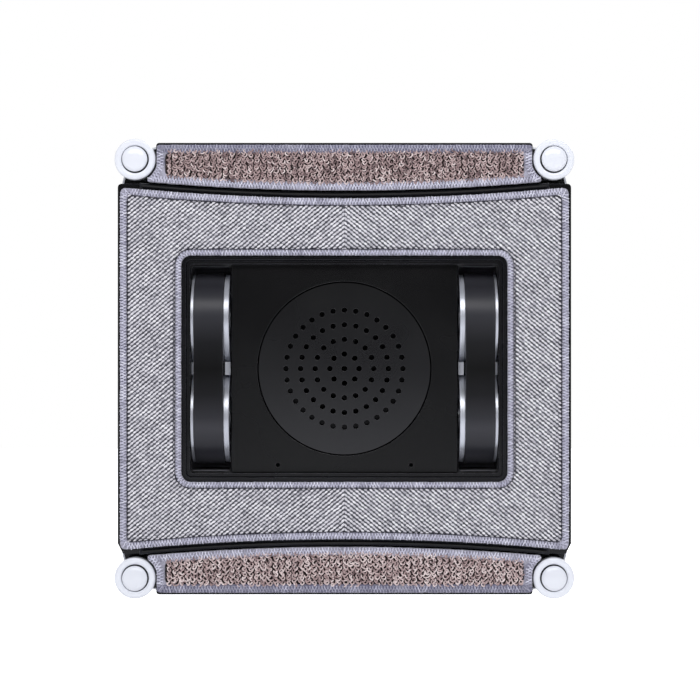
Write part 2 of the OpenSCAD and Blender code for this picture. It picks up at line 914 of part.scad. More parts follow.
// Arched carrying handle across the back, with a soft grip let into its top
function arch(half, top, r) = left_right(concat(
    corner(half - r, top - r, r, 10),
    [[half, 0]]
));
module handle_form() {
    top = handle_rise;
    half = handle_span / 2;
    translate([0, 0, body_depth]) intersection() {
        along_y(-handle_w / 2, handle_w) difference() {
            polygon(arch(half, top, handle_r));
            translate([0, -over]) polygon(arch(half - handle_foot, top - handle_t + over, handle_in_r));
        }
        along_x(-half, 2 * half) polygon(arch(handle_w / 2, top, handle_edge));
    }
}
module handle() {
    color("#1d1e20") on_glass() difference() {
        handle_form();
        prism(
            round_rect(grip_l, grip_w, grip_r),
            body_depth + handle_rise - grip_sink, grip_sink + over
        );
    }
}
module handle_grip() {
    color("#3a3b3f") on_glass() prism(
        round_rect(grip_l - seat_gap, grip_w - seat_gap, grip_r - seat_gap / 2),
        body_depth + handle_rise - grip_sink, grip_sink + grip_proud
    );
}

// Start button: bezel, cap with its stem, and the spring under the cap
cup_front = body_depth - wall / 2 - cup_l;
spring_seat = cup_front + cup_floor;
cap_back = body_depth + button_proud;
cap_front = cap_back - button_cap_t;
module button_bezel() {
    color("#c9ccd2") on_glass() translate([0, button_y, body_depth]) rotate_extrude() polygon([
        [button_r + slide_gap, 0],
        [button_r + slide_gap + bezel_w, 0],
        [button_r + slide_gap + bezel_w * 2 / 3, bezel_t],
        [button_r + slide_gap, bezel_t]
    ]);
}
module start_button() {
    stem_front = board_depth + board_t + tact_t + press_gap + button_travel;
    stop_back = cup_front - stop_gap;
    color("#e8ebf0") on_glass() translate([0, button_y, 0]) rotate_extrude() polygon([
        [0, stem_front],
        [stem_r, stem_front],
        [stem_r, stop_back - stop_t],
        [stop_r, stop_back - stop_t],
        [stop_r, stop_back],
        [stem_r, stop_back],
        [stem_r, cap_front],
        [button_r, cap_front],
        [button_r, cap_back - head_round],
        [button_r - head_round, cap_back],
        [0, cap_back]
    ]);
}
module button_spring() {
    color("#b9bcc2") on_glass() translate([0, button_y, spring_seat])
        coil_spring(stem_r + 3 * button_wire_r, button_wire_r, cap_front - spring_seat, button_turns);
}

// Status light in a slot of the cover
function light_outline(grow) = round_rect(light_w + 2 * grow, light_h + 2 * grow, light_r + grow);
module status_light() {
    color("#9fd4ff") on_glass() translate([0, light_y, 0]) {
        prism(light_outline(0), body_depth - wall, wall + light_proud);
        prism(light_outline(light_lap), body_depth - wall - light_lap, light_lap);
    }
}

// Round socket for the plug of the power cord, with its contacts deep inside
module power_socket() {
    mouth = body_depth + socket_flange_t;
    color("#2a2b2e") on_glass() translate([-fitting_x, -fitting_y, 0]) {
        difference() {
            union() {
                translate([0, 0, mouth - socket_l]) cylinder(r = socket_r, h = socket_l);
                translate([0, 0, body_depth]) cylinder(r = socket_flange_r, h = socket_flange_t);
            }
            translate([0, 0, mouth - socket_bore_l]) cylinder(r = socket_bore_r, h = socket_bore_l + over);
            translate([0, 0, mouth - socket_bore_l - pin_well_l])
                cylinder(r = pin_well_r, h = pin_well_l + over);
        }
        for (i = [1:contacts]) rotate(360 * i / contacts)
            translate([contact_ring, 0, mouth - socket_bore_l - pin_well_l - contact_r])
                cylinder(r = contact_r, h = pin_well_l, $fn = 24);
    }
}

// Lug with the eye for the safety tether
module tether_lug() {
    eye = body_depth + lug_rise;
    color("#1d1e20") on_glass() translate([fitting_x, -fitting_y, 0]) {
        prism(round_rect(lug_base_w, lug_base_h, window_r), body_depth, lug_base_t);
        along_x(-lug_t / 2, lug_t) difference() {
            union() {
                translate([0, eye]) circle(r = lug_r);
                translate([-lug_r, body_depth + lug_base_t / 2])
                    square([2 * lug_r, eye - body_depth - lug_base_t / 2]);
            }
            translate([0, eye]) circle(r = lug_eye_r);
        }
    }
}

// Power rocker in its housing, beside the start button
rocker_axis = body_depth + rocker_pivot - rocker_proud;
function rocker_outline(grow) = round_rect(rocker_w + 2 * grow, rocker_h + 2 * grow, rocker_r + grow);
module rocker_housing() {
    bottom = body_depth - rocker_l;
    color("#26272a") on_glass() translate([fitting_x, rocker_y, 0]) difference() {
        union() {
            prism(rocker_outline(rocker_wall), bottom, rocker_l);
            prism(rocker_outline(rocker_wall + rocker_rim), body_depth, rocker_rim_t);
        }
        prism(rocker_outline(0), bottom + rocker_wall, rocker_l + over);
        along_x(-rocker_w / 2 - rocker_wall / 2, rocker_w + rocker_wall) translate([0, rocker_axis])
            circle(r = rocker_pin_r + run_gap, $fn = 32);
    }
}
module power_rocker() {
    half = rocker_h / 2 - 3 * rocker_gap;
    top = rocker_proud + rocker_pivot;
    drop = half * tan(rocker_swing / 2);
    tilt = [-rocker_swing / 2, 0, 0];
    color("#141517") on_glass() translate([fitting_x, rocker_y, rocker_axis]) rotate(tilt) {
        along_x(-rocker_w / 2 + rocker_gap, rocker_w - 2 * rocker_gap) polygon([
            [-half, top + drop],
            [0, top],
            [half, top + drop],
            [half - rocker_gap, 0],
            [0, -3 * rocker_pivot],
            [rocker_gap - half, 0]
        ]);
        along_x(-rocker_w / 2 - rocker_wall / 2 + rocker_gap / 2, rocker_w + rocker_wall - rocker_gap)
            circle(r = rocker_pin_r, $fn = 32);
    }
}

// Fan: housing with outlets in its back wall, motor and impeller
module fan_housing() {
    slot = 2 * (outlet_r - outlet_w / 2) * sin(180 / outlet_count) - outlet_web;
    color("#3b3d42") on_glass() difference() {
        translate([0, 0, housing_front]) rotate_extrude($fn = 128) polygon([
            [housing_r - housing_wall, 0],
            [housing_r, 0],
            [housing_r, housing_l],
            [motor_neck_r + run_gap, housing_l],
            [motor_neck_r + run_gap, housing_l - housing_wall],
            [housing_r - housing_wall, housing_l - housing_wall]
        ]);
        translate([0, 0, housing_back - housing_wall - over]) linear_extrude(housing_wall + 2 * over)
            for (i = [1:outlet_count]) rotate(360 * i / outlet_count) difference() {
                intersection() {
                    circle(r = outlet_r + outlet_w / 2);
                    translate([0, -slot / 2]) square([2 * outlet_r, slot]);
                }
                circle(r = outlet_r - outlet_w / 2);
            }
    }
}
module fan_motor() {
    color("#8d9096") on_glass() difference() {
        translate([0, 0, housing_back - housing_wall]) rotate_extrude() polygon([
            [0, 0],
            [motor_neck_r, 0],
            [motor_neck_r, housing_wall],
            [motor_r, housing_wall],
            [motor_r, housing_wall + motor_l - can_flat],
            [motor_r - can_flat, housing_wall + motor_l],
            [0, housing_wall + motor_l]
        ]);
        translate([0, 0, housing_back - housing_wall - over])
            cylinder(r = fan_shaft_r + run_gap, h = fan_shaft_l + over, $fn = 48);
    }
}
module fan_impeller() {
    back = impeller_front + impeller_l;
    color("#d9dce2") on_glass() {
        translate([0, 0, impeller_front]) rotate_extrude() polygon([
            [0, impeller_l - impeller_hub_r],
            [impeller_hub_r, impeller_l - shroud_t],
            [fan_r, impeller_l - shroud_t],
            [fan_r, impeller_l],
            [fan_shaft_r, impeller_l],
            [fan_shaft_r, impeller_l + fan_shaft_l - shroud_t],
            [0, impeller_l + fan_shaft_l - shroud_t]
        ]);
        translate([0, 0, impeller_front]) difference() {
            cylinder(r = fan_r, h = shroud_t);
            translate([0, 0, -over]) cylinder(r = fan_r - shroud_w, h = shroud_t + 2 * over);
        }
        translate([0, 0, impeller_front]) linear_extrude(impeller_l - shroud_t / 2)
            for (i = [1:fan_blades]) rotate(360 * i / fan_blades)
                polygon(swept(blade_root_r, fan_r - shroud_t, -fan_sweep, fan_blade_t));
    }
}

// Track frame: a closed box behind each well, which bears the axles and keeps the air out
module frame_outline(half, back) {
    polygon([
        [-half, plate_back],
        [half, plate_back],
        [half, back - frame_cut],
        [half - frame_cut, back],
        [frame_cut - half, back],
        [-half, back - frame_cut]
    ]);
}
module guide_rib(x, t) {
    front = plate_back + guide_rib_front;
    along_x(x, t) polygon([
        [-guide_rib_w / 2, front],
        [guide_rib_w / 2, front],
        [guide_rib_tip / 2, belt_r],
        [guide_rib_tip / 2, bridge_front],
        [-guide_rib_tip / 2, bridge_front],
        [-guide_rib_tip / 2, belt_r]
    ]);
}
module track_frame(s) {
    x_in = track_x - cheek_in;
    x_out = track_x + cheek_out;
    rib_in = cheek_in - belt_w / 2 - guide_rib_reach;
    rib_out = cheek_out - belt_w / 2 - guide_rib_reach;
    color("#4a4d52") on_glass() side(s) {
        difference() {
            along_x(x_in - cheek_t, x_out - x_in + 2 * cheek_t)
                frame_outline(well_half + cheek_t, frame_back);
            along_x(x_in, x_out - x_in) translate([0, -over]) frame_outline(well_half, bridge_front + over);
            along_x(x_in - cheek_t - over, x_out - x_in + 2 * (cheek_t + over))
                for (t = [-1, 1]) translate([t * axle_y, belt_r]) circle(r = axle_r + run_gap);
        }
        guide_rib(x_in - cheek_t / 2, rib_in + cheek_t / 2);
        guide_rib(x_out - rib_out, rib_out + cheek_t / 2);
    }
}
module left_track_frame() track_frame(-1);
module right_track_frame() track_frame(1);

// Belt round the two wheels of a track
module belt_loop(r) {
    for (s = [-1, 1]) translate([s * axle_y, belt_r]) intersection() {
        circle(r = r, $fn = 192);
        translate([s > 0 ? 0 : -2 * r, -2 * r]) square([2 * r, 4 * r]);
    }
    translate([-axle_y, belt_r - r]) square([2 * axle_y, 2 * r]);
}
module tread_belt(s) {
    color("#2b2c30") on_glass() side(s) along_x(track_x - belt_w / 2, belt_w) difference() {
        belt_loop(belt_r);
        belt_loop(belt_r - belt_t);
    }
}
module left_tread_belt() tread_belt(-1);
module right_tread_belt() tread_belt(1);

// Track wheel with its flanges and axle, which runs from x0 to x1 beside the middle of the belt
module track_wheel(s, y, x0, x1) {
    face = belt_w / 2 + flange_gap;
    hub_in = cheek_in - hub_gap;
    hub_out = cheek_out - hub_gap;
    color("#b4b8bf") on_glass() side(s) translate([track_x, y, belt_r]) rotate([0, 90, 0]) difference() {
        rotate_extrude($fn = 128) polygon([
            [0, x0],
            [axle_r, x0],
            [axle_r, -hub_in],
            [hub_r, -hub_in],
            [hub_r, -web_t / 2],
            [wheel_r - rim_t, -web_t / 2],
            [wheel_r - rim_t, -wheel_in],
            [flange_r, -wheel_in],
            [flange_r, -face],
            [wheel_r, -face],
            [wheel_r, face],
            [flange_r, face],
            [flange_r, wheel_out],
            [wheel_r - rim_t, wheel_out],
            [wheel_r - rim_t, web_t / 2],
            [hub_r, web_t / 2],
            [hub_r, hub_out],
            [axle_r, hub_out],
            [axle_r, x1],
            [0, x1]
        ]);
        for (i = [1:spoke_holes]) rotate(360 * i / spoke_holes)
            translate([(hub_r + wheel_r - rim_t) / 2, 0, -web_t])
                cylinder(r = spoke_hole_r, h = 2 * web_t, $fn = 32);
    }
}
axle_end = cheek_out + cheek_t + slide_gap;
idler_end = -cheek_in - cheek_t - slide_gap;
drive_end = -cheek_in - cheek_t - gearbox_t + cheek_t;
module left_drive_wheel() track_wheel(-1, axle_y, drive_end, axle_end);
module right_drive_wheel() track_wheel(1, axle_y, drive_end, axle_end);
module left_idler_wheel() track_wheel(-1, -axle_y, idler_end, axle_end);
module right_idler_wheel() track_wheel(1, -axle_y, idler_end, axle_end);

// Drive motor with its gearbox against the inner cheek
module gearmotor(s) {
    x = track_x - cheek_in - cheek_t - gearbox_t;
    front = plate_back + gearbox_front;
    color("#6f737a") on_glass() side(s) difference() {
        union() {
            along_x(x, gearbox_t) translate([axle_y, (front + gearbox_back) / 2])
                polygon(round_rect(gearbox_h, gearbox_back - front, gearbox_r));
            translate([x - can_l, axle_y, can_depth]) rotate([0, 90, 0]) cylinder(r = can_r, h = can_l);
            translate([x - can_l - can_flat, axle_y, can_depth]) rotate([0, 90, 0])
                cylinder(r = axle_r, h = can_flat + over);
        }
        translate([x + cheek_t - over, axle_y, belt_r]) rotate([0, 90, 0])
            cylinder(r = axle_r + run_gap, h = gearbox_t);
    }
}
module left_gearmotor() gearmotor(-1);
module right_gearmotor() gearmotor(1);

// Battery pack of four cells in a tray
module battery_pack() {
    l = 2 * cell_l + cell_gap;
    w = cell_pitch + 2 * cell_r;
    color("#3f6ea8") on_glass() translate([0, battery_y, battery_depth]) {
        for (t = [-1, 1]) for (s = [-1, 1])
            translate([s * (cell_l + cell_gap) / 2, t * cell_pitch / 2, 0]) rotate([0, 90, 0])
                cylinder(r = cell_r, h = cell_l, center = true, $fn = 64);
        translate([-l / 2 - battery_case, -w / 2 - battery_case, -cell_r - battery_case])
            cube([l + 2 * battery_case, w + 2 * battery_case, cell_r + battery_case]);
    }
}

// Main board with its components, and the switch under the start button
module main_board() {
    x = board_w / 2;
    z = board_depth + board_t;
    color("#1f6b45") on_glass() translate([0, board_y, 0]) {
        translate([-x, -board_h / 2, board_depth]) cube([board_w, board_h, board_t]);
        translate([-tact_t / 2, button_y - board_y - tact_t / 2, z - board_t / 2])
            cube([tact_t, tact_t, board_t / 2 + tact_t - tact_r]);
        translate([0, button_y - board_y, z]) cylinder(r = tact_r, h = tact_t, $fn = 24);
        for (s = [-1, 1]) translate([s * x / 2, 0, 0]) {
            translate([-can_r / 2, -can_r / 2, z - board_t / 2]) cube([can_r, can_r, board_t]);
            translate([can_r, can_r / 2, z - board_t / 2]) cylinder(r = can_r / 3, h = can_r, $fn = 32);
            translate([-can_r, -can_r / 2, z - board_t / 2]) cylinder(r = can_r / 4, h = can_r / 2, $fn = 32);
        }
    }
}

// Switches that the bumpers' guide rods press
module bump_switches() {
    rod_end = guide_end_y();
    back = rod_end - bumper_travel - switch_gap - nub_l;
    color("#7a2f2b") on_glass() for (t = [-1, 1]) for (s = [-1, 1]) side(s) end(t) {
        translate([guide_x - switch_w / 2, back - switch_l, plate_front])
            cube([switch_w, switch_l, guide_depth + guide_boss_r - plate_front]);
        bar_y(guide_x, back - over, back + nub_l, guide_depth, nub_r);
    }
}

// Screws that hold the cover on the chassis
module housing_screws() {
    color("#a8abb1") on_glass() at_screws() {
        translate([0, 0, head_seat - screw_head_t]) cylinder(r = screw_head_r, h = screw_head_t, $fn = 32);
        translate([0, 0, head_seat - screw_head_t / 2])
            cylinder(r = screw_r, h = screw_l + screw_head_t / 2, $fn = 32);
    }
}

// Bumper: a ribbed bar behind the strip pad, an arm under each roller and two guide rods
function guide_end_y() = bow_y(guide_x - guide_boss_r, chassis_mid) - wall / 2 - guide_boss_l - guide_stick;
function arm_outline() = left_right(concat(
    bow(arm_reach, bumper_mid),
    flip(corner(arm_reach - arm_r, arm_top - arm_r, arm_r))
));
function bar_outline() = left_right(concat(
    bow(bar_half, bumper_mid),
    [[bar_half, strip_reach - bar_inset]]
));
module bumper_pocket(x0, x1) {
    y0 = bow_y(bar_half, bumper_mid) + bumper_wall;
    y1 = strip_reach - bar_inset - bumper_wall;
    front = strip_t + face_t + bumper_wall;
    translate([x0, y0, front]) cube([x1 - x0, y1 - y0, bumper_back - front + over]);
}
module bumper(t) {
    front = strip_t + face_t / 2;
    rib_in = guide_x - guide_rib;
    rib_out = guide_x + guide_rib;
    third = (2 * rib_in - 2 * rib_t) / 3;
    color("#1b1c1f") on_glass() end(t) {
        difference() {
            union() {
                prism(strip_outline(bumper_mid, face_grow, face_lip), strip_t, face_t);
                prism(bar_outline(), front, bumper_back - front);
                prism(arm_outline(), arm_front, bumper_back - arm_front);
            }
            bumper_pocket(-third / 2, third / 2);
            both_sides() {
                bumper_pocket(third / 2 + rib_t, rib_in);
                bumper_pocket(rib_out, bar_half - bumper_wall);
                translate([roller_x, roller_x, arm_front - over])
                    cylinder(r = post_r + run_gap, h = post_back - arm_front + over);
            }
        }
        both_sides() {
            bar_y(guide_x, guide_end_y(), bumper_mid + guide_rib, guide_depth, guide_r);
            bar_y(guide_x, collar_y(), bumper_mid + guide_rib, guide_depth, collar_r);
        }
    }
}
function collar_y() = bow_y(guide_x, bumper_mid) - collar_rise;
module top_bumper() bumper(-1);
module bottom_bumper() bumper(1);

// Strip pad of looped pile, and the binding round it
module strip_pad(t) {
    color("#a08b85") on_glass() end(t) prism(strip_core(), 0, strip_t);
}
module strip_binding(t) {
    color("#aeabc0") on_glass() end(t)
        ring_prism(strip_outline(strip_mid, 0), strip_core(), binding_front, strip_t - binding_front);
}
module top_strip_pad() strip_pad(-1);
module bottom_strip_pad() strip_pad(1);
module top_strip_binding() strip_binding(-1);
module bottom_strip_binding() strip_binding(1);

// Hollow posts in the bumper's arms, with a snap lip that holds the roller
module roller_posts(t) {
    profile = [
        [sensor_pocket_r, post_front],
        [post_r + post_lip / 2, post_front],
        [post_r + post_lip, post_front + post_lip / 2],
        [post_r + post_lip, post_front + post_lip_t],
        [post_r, post_front + post_lip_t],
        [post_r, post_back],
        [0, post_back],
        [0, post_back - post_floor],
        [sensor_pocket_r, post_back - post_floor]
    ];
    color("#e4e8f2") on_glass() end(t) both_sides() translate([roller_x, roller_x, 0])
        rotate_extrude() polygon(profile);
}
module top_roller_posts() roller_posts(-1);
module bottom_roller_posts() roller_posts(1);

// Corner roller: a ring with rounded edges and a groove for the snap lip
module corner_roller(s, t) {
    r = roller_round;
    front_in = [for (a = span(180, 90, 4)) [roller_bore + r * (1 + cos(a)), roller_front + r * (1 - sin(a))]];
    front_out = [for (a = span(90, 0, 6)) [roller_r - r * (1 - cos(a)), roller_front + r * (1 - sin(a))]];
    back_out = [for (a = span(0, 90, 4)) [roller_r - r * (1 - cos(a)), roller_back - r * (1 - sin(a))]];
    color("#eef1fa") on_glass() translate([s * roller_x, t * roller_x, 0]) rotate_extrude() polygon(concat(
        front_in,
        front_out,
        back_out,
        [
            [roller_bore, roller_back],
            [roller_bore, post_front + post_lip_t + 2 * lip_groove],
            [post_r + post_lip + lip_groove, post_front + post_lip_t + 2 * lip_groove],
            [post_r + post_lip + lip_groove, post_front - lip_groove],
            [roller_bore, post_front - lip_groove]
        ]
    ));
}
module top_left_roller() corner_roller(-1, -1);
module top_right_roller() corner_roller(1, -1);
module bottom_left_roller() corner_roller(-1, 1);
module bottom_right_roller() corner_roller(1, 1);

// Edge sensor: a domed head on a hollow skirt that slides in the post
module edge_sensor(s, t) {
    rim = sensor_r - head_round;
    dome_r = (pow(rim, 2) + pow(head_dome, 2)) / (2 * head_dome);
    dome_a = asin(rim / dome_r);
    dome = [for (a = span(0, dome_a, 6)) [dome_r * sin(a), dome_r * (1 - cos(a))]];
    edge = [for (a = span(60, 0, 3)) [rim + head_round * cos(a), head_dome + head_round * (1 - sin(a))]];
    color("#f1f4fb") on_glass() translate([s * roller_x, t * roller_x, 0]) rotate_extrude() polygon(concat(
        dome,
        edge,
        [
            [sensor_r, head_t],
            [skirt_r, head_t],
            [skirt_r, skirt_back],
            [skirt_r - skirt_wall, skirt_back],
            [skirt_r - skirt_wall, head_t + head_floor],
            [0, head_t + head_floor]
        ]
    ));
}
module top_left_edge_sensor() edge_sensor(-1, -1);
module top_right_edge_sensor() edge_sensor(1, -1);
module bottom_left_edge_sensor() edge_sensor(-1, 1);
module bottom_right_edge_sensor() edge_sensor(1, 1);

// Springs round the guide rods and inside the edge sensors
bumper_spring_l = collar_y() - guide_pocket_y();
sensor_spring_front = head_t + head_floor;
sensor_spring_l = post_back - post_floor - sensor_spring_front;
module bumper_springs(t) {
    r = guide_r + slide_gap + 1.5 * bumper_wire_r;
    color("#b9bcc2") on_glass() end(t) both_sides() translate([guide_x, guide_pocket_y(), guide_depth])
        rotate([-90, 0, 0]) coil_spring(r, bumper_wire_r, bumper_spring_l, bumper_turns);
}
module sensor_springs(t) {
    r = skirt_r - skirt_wall - slide_gap - sensor_wire_r;
    color("#b9bcc2") on_glass() end(t) both_sides() translate([roller_x, roller_x, sensor_spring_front])
        coil_spring(r, sensor_wire_r, sensor_spring_l, sensor_turns);
}
module top_bumper_springs() bumper_springs(-1);
module bottom_bumper_springs() bumper_springs(1);
module top_sensor_springs() sensor_springs(-1);
module bottom_sensor_springs() sensor_springs(1);
echo(bumper_spring_gap = coil_gap(bumper_wire_r, bumper_spring_l, bumper_turns));
echo(sensor_spring_gap = coil_gap(sensor_wire_r, sensor_spring_l, sensor_turns));
echo(button_spring_gap = coil_gap(button_wire_r, cap_front - spring_seat, button_turns));

base_plate();
vent_grille();
chassis_tub();
chassis_deck();
pad_hook_board();
main_pad();
main_pad_binding();
top_squeegee_blade();
bottom_squeegee_blade();
top_squeegee_rail();
bottom_squeegee_rail();
back_cover();
exhaust_grille();
handle();
handle_grip();
button_bezel();
status_light();
power_socket();
tether_lug();
fan_motor();
fan_housing();
fan_impeller();
main_board();
battery_pack();
left_gearmotor();
right_gearmotor();
left_track_frame();
right_track_frame();
left_tread_belt();
right_tread_belt();
left_drive_wheel();
right_drive_wheel();
left_idler_wheel();
right_idler_wheel();
bump_switches();
housing_screws();
button_spring();
start_button();
rocker_housing();
power_rocker();
top_bumper();
bottom_bumper();
top_strip_pad();
bottom_strip_pad();
top_strip_binding();
bottom_strip_binding();
top_roller_posts();
bottom_roller_posts();
top_bumper_springs();
bottom_bumper_springs();
top_left_roller();
top_right_roller();
bottom_left_roller();
bottom_right_roller();
top_left_edge_sensor();
top_right_edge_sensor();
bottom_left_edge_sensor();
bottom_right_edge_sensor();
top_sensor_springs();
bottom_sensor_springs();
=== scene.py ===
# Window cleaning robot, seen from the side that lies on the glass.
# The rigid parts are the imported model. The cloth, pile and sewing are made here, and so are the caps of
# the edge sensors and copies of the springs.
import bpy
import math
import random
from mathutils import Matrix, Vector, noise
from mathutils.bvhtree import BVHTree


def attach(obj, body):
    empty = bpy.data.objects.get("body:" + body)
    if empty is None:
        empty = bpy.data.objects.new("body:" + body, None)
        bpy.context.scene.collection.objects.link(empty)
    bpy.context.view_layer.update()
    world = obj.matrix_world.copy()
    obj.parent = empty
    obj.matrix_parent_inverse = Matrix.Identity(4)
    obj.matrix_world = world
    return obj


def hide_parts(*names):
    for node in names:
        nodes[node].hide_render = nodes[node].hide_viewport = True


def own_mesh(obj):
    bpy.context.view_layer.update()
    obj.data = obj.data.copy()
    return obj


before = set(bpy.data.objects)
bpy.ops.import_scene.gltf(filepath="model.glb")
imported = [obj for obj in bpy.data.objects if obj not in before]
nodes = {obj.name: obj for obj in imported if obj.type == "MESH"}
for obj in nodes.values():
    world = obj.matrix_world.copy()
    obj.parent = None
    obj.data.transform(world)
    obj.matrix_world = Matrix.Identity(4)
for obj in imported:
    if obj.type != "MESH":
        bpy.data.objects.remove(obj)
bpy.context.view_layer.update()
scene = bpy.context.scene
MM = 0.001

# Sizes of the cloth parts, in millimetres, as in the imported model
PAD_HALF = 119.7
PAD_MID = 90.9
PAD_CORNER = 3.0
BOW_CENTRE = 1308.1
WINDOW_HALF = (87.1, 60.45)
WINDOW_CORNER = 5.0
EDGE_WIDE = 3.75
WINDOW_EDGE_WIDE = 3.15
STRIP_MID = 95.0
STRIP_HALF = 100.2
STRIP_FLARE = 105.0
STRIP_REACH = 119.5
STRIP_CORNER = 1.6
ROLLER_AT = 111.8
ROLLER_CLEAR = 12.1
PILE_HALF = 95.6
PILE_TOP = 114.9
PILE_MID = 98.5
# How far in from a strip's outer side its edge is darker
DARK_EDGE_WIDTH = 4.6
# Depths of the pad's ground cloth and of the front of a rolled edge, from the glass
GROUND_FRONT = 0.95
GROUND_BACK = 3.85
EDGE_FRONT = 0.85
# Depth at which the main board's components begin
BOARD_BACK = 41.7
# Radius where the painted shadow in the gap round the vent disc begins
DISC_SHADOW_GAP = 46.0
# Straight steps in one half of a bowed edge
BOW_STEPS = 40

ENDS = (("top", 1), ("bottom", -1))
HANDS = (("left", -1), ("right", 1))

# One source of random draws, so that each run gives the same cloth
rng = random.Random(7)


# Small tools

def linear(code, alpha=1.0):
    """An sRGB hex colour as the linear values that a shader wants."""
    parts = [int(code[i:i + 2], 16) / 255 for i in (1, 3, 5)]
    return tuple(c / 12.92 if c <= 0.04045 else ((c + 0.055) / 1.055) ** 2.4 for c in parts) + (alpha,)


def select_only(*chosen):
    """Leaves edit mode and selects these objects and nothing else."""
    if bpy.context.object and bpy.context.object.mode != "OBJECT":
        bpy.ops.object.mode_set(mode="OBJECT")
    bpy.ops.object.select_all(action="DESELECT")
    for o in chosen:
        o.hide_set(False)
        o.select_set(True)
    bpy.context.view_layer.objects.active = chosen[0]


def apply_modifier(obj, kind, **settings):
    """Adds a modifier with these settings and applies it."""
    select_only(obj)
    made = obj.modifiers.new(kind.lower(), kind)
    for key, value in settings.items():
        setattr(made, key, value)
    bpy.ops.object.modifier_apply(modifier=made.name)


def finish_piece(obj, body, material):
    """Gives a piece its finish, smooth shading and its body."""
    obj.data.materials.clear()
    obj.data.materials.append(material)
    select_only(obj)
    bpy.ops.object.shade_smooth()
    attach(obj, body)
    return obj


def scatter(amount):
    """A random amount either way."""
    return rng.uniform(-amount, amount)


def shade_about(middle, spread, less=0.0):
    """A random shade for one thread, from 0 to 1."""
    return min(1, max(0, rng.gauss(middle, spread) - less))


# Outlines, as closed lists of (x, z) in millimetres

def bow(x, mid):
    """Height of the bowed edge that is at mid in the middle."""
    return BOW_CENTRE - math.sqrt((BOW_CENTRE - mid) ** 2 - x * x)


def round_corner(x, z, r, start, end, steps=6):
    """Points of an arc about x, z, with angles in degrees."""
    angles = [math.radians(start + (end - start) * i / steps) for i in range(steps + 1)]
    return [(x + r * math.cos(a), z + r * math.sin(a)) for a in angles]


def whole_from_quarter(quarter):
    """A closed outline from its quarter between the upper middle and the right."""
    right = quarter + [(x, -z) for x, z in reversed(quarter)]
    return right + [(-x, z) for x, z in reversed(right)]


def pad_path(inset):
    """Outline of the main pad, drawn in by inset."""
    half, mid = PAD_HALF - inset, PAD_MID - inset
    flat = half - PAD_CORNER
    top = bow(flat, mid) - PAD_CORNER
    edge = [(flat * i / BOW_STEPS, bow(flat * i / BOW_STEPS, mid)) for i in range(BOW_STEPS)]
    return whole_from_quarter(edge + round_corner(flat, top, PAD_CORNER, 90, 0))


def window_path(grow):
    """Outline of the opening in the main pad, let out by grow."""
    r = WINDOW_CORNER + grow
    x, z = WINDOW_HALF[0] + grow - r, WINDOW_HALF[1] + grow - r
    return whole_from_quarter([(0, z + r)] + round_corner(x, z, r, 90, 0))


def strip_path(inset, end):
    """Outline of an edge strip, drawn in by inset. end is 1 at the top and -1 at the bottom."""
    clear = ROLLER_CLEAR + inset
    flare, side = STRIP_FLARE - inset, STRIP_HALF - inset
    mid, top = STRIP_MID + inset, STRIP_REACH - inset
    first = 180 + math.degrees(math.acos((ROLLER_AT - flare) / clear))
    last = 180 + math.degrees(math.acos((ROLLER_AT - side) / clear))
    right = [(flare * i / BOW_STEPS, bow(flare * i / BOW_STEPS, mid)) for i in range(BOW_STEPS + 1)]
    right += round_corner(ROLLER_AT, ROLLER_AT, clear, first, last)
    right += round_corner(side - STRIP_CORNER, top - STRIP_CORNER, STRIP_CORNER, 0, 90)
    left = [(-x, z) for x, z in reversed(right)]
    return [(x, z * end) for x, z in right + left]


def steps_along(path, pitch):
    """Evenly spaced places on a closed path, each with its direction of travel."""
    loop = [Vector(p) for p in path]
    sides = [(a, b, (b - a).length) for a, b in zip(loop, loop[1:] + loop[:1]) if (b - a).length > 1e-6]
    total = sum(s[2] for s in sides)
    count = round(total / pitch)
    places, walked, i = [], 0.0, 0
    for k in range(count):
        target = total * k / count
        while walked + sides[i][2] < target:
            walked += sides[i][2]
            i += 1
        a, b, length = sides[i]
        places.append((a + (b - a) * ((target - walked) / length), (b - a) / length))
    return places


# Shapes that repeat

def arc_thread(name, thick, bend, sweep, sides=6, steps=6):
    """A piece of yarn bent round in an arc, with closed ends. It lies along X and bulges towards -Y."""
    bpy.ops.object.select_all(action="DESELECT")
    bpy.ops.mesh.primitive_circle_add(
        vertices=sides, radius=thick, location=(0, -bend, 0), rotation=(0, math.pi / 2, 0)
    )
    made = bpy.context.object
    made.name = name
    bpy.ops.object.transform_apply(location=True, rotation=True, scale=True)
    bpy.ops.object.mode_set(mode="EDIT")
    bpy.ops.mesh.select_all(action="SELECT")
    bpy.ops.mesh.spin(steps=steps, angle=math.radians(sweep), center=(0, 0, 0), axis=(0, 0, 1))
    bpy.ops.mesh.select_all(action="SELECT")
    bpy.ops.mesh.remove_doubles(threshold=thick * 0.01)
    bpy.ops.mesh.select_all(action="DESELECT")
    bpy.ops.mesh.select_non_manifold()
    bpy.ops.mesh.edge_face_add()
    bpy.ops.mesh.select_all(action="SELECT")
    bpy.ops.mesh.normals_make_consistent(inside=False)
    bpy.ops.object.mode_set(mode="OBJECT")
    # The arc is turned about its centre until its middle faces -Y, and then set down on the origin
    middle = sum((v.co for v in made.data.vertices), Vector()) / len(made.data.vertices)
    made.data.transform(Matrix.Rotation(-math.pi / 2 - math.atan2(middle.y, middle.x), 4, "Z"))
    reach = min(v.co.y for v in made.data.vertices)
    made.data.transform(Matrix.Translation((0, -reach, 0)))
    return made


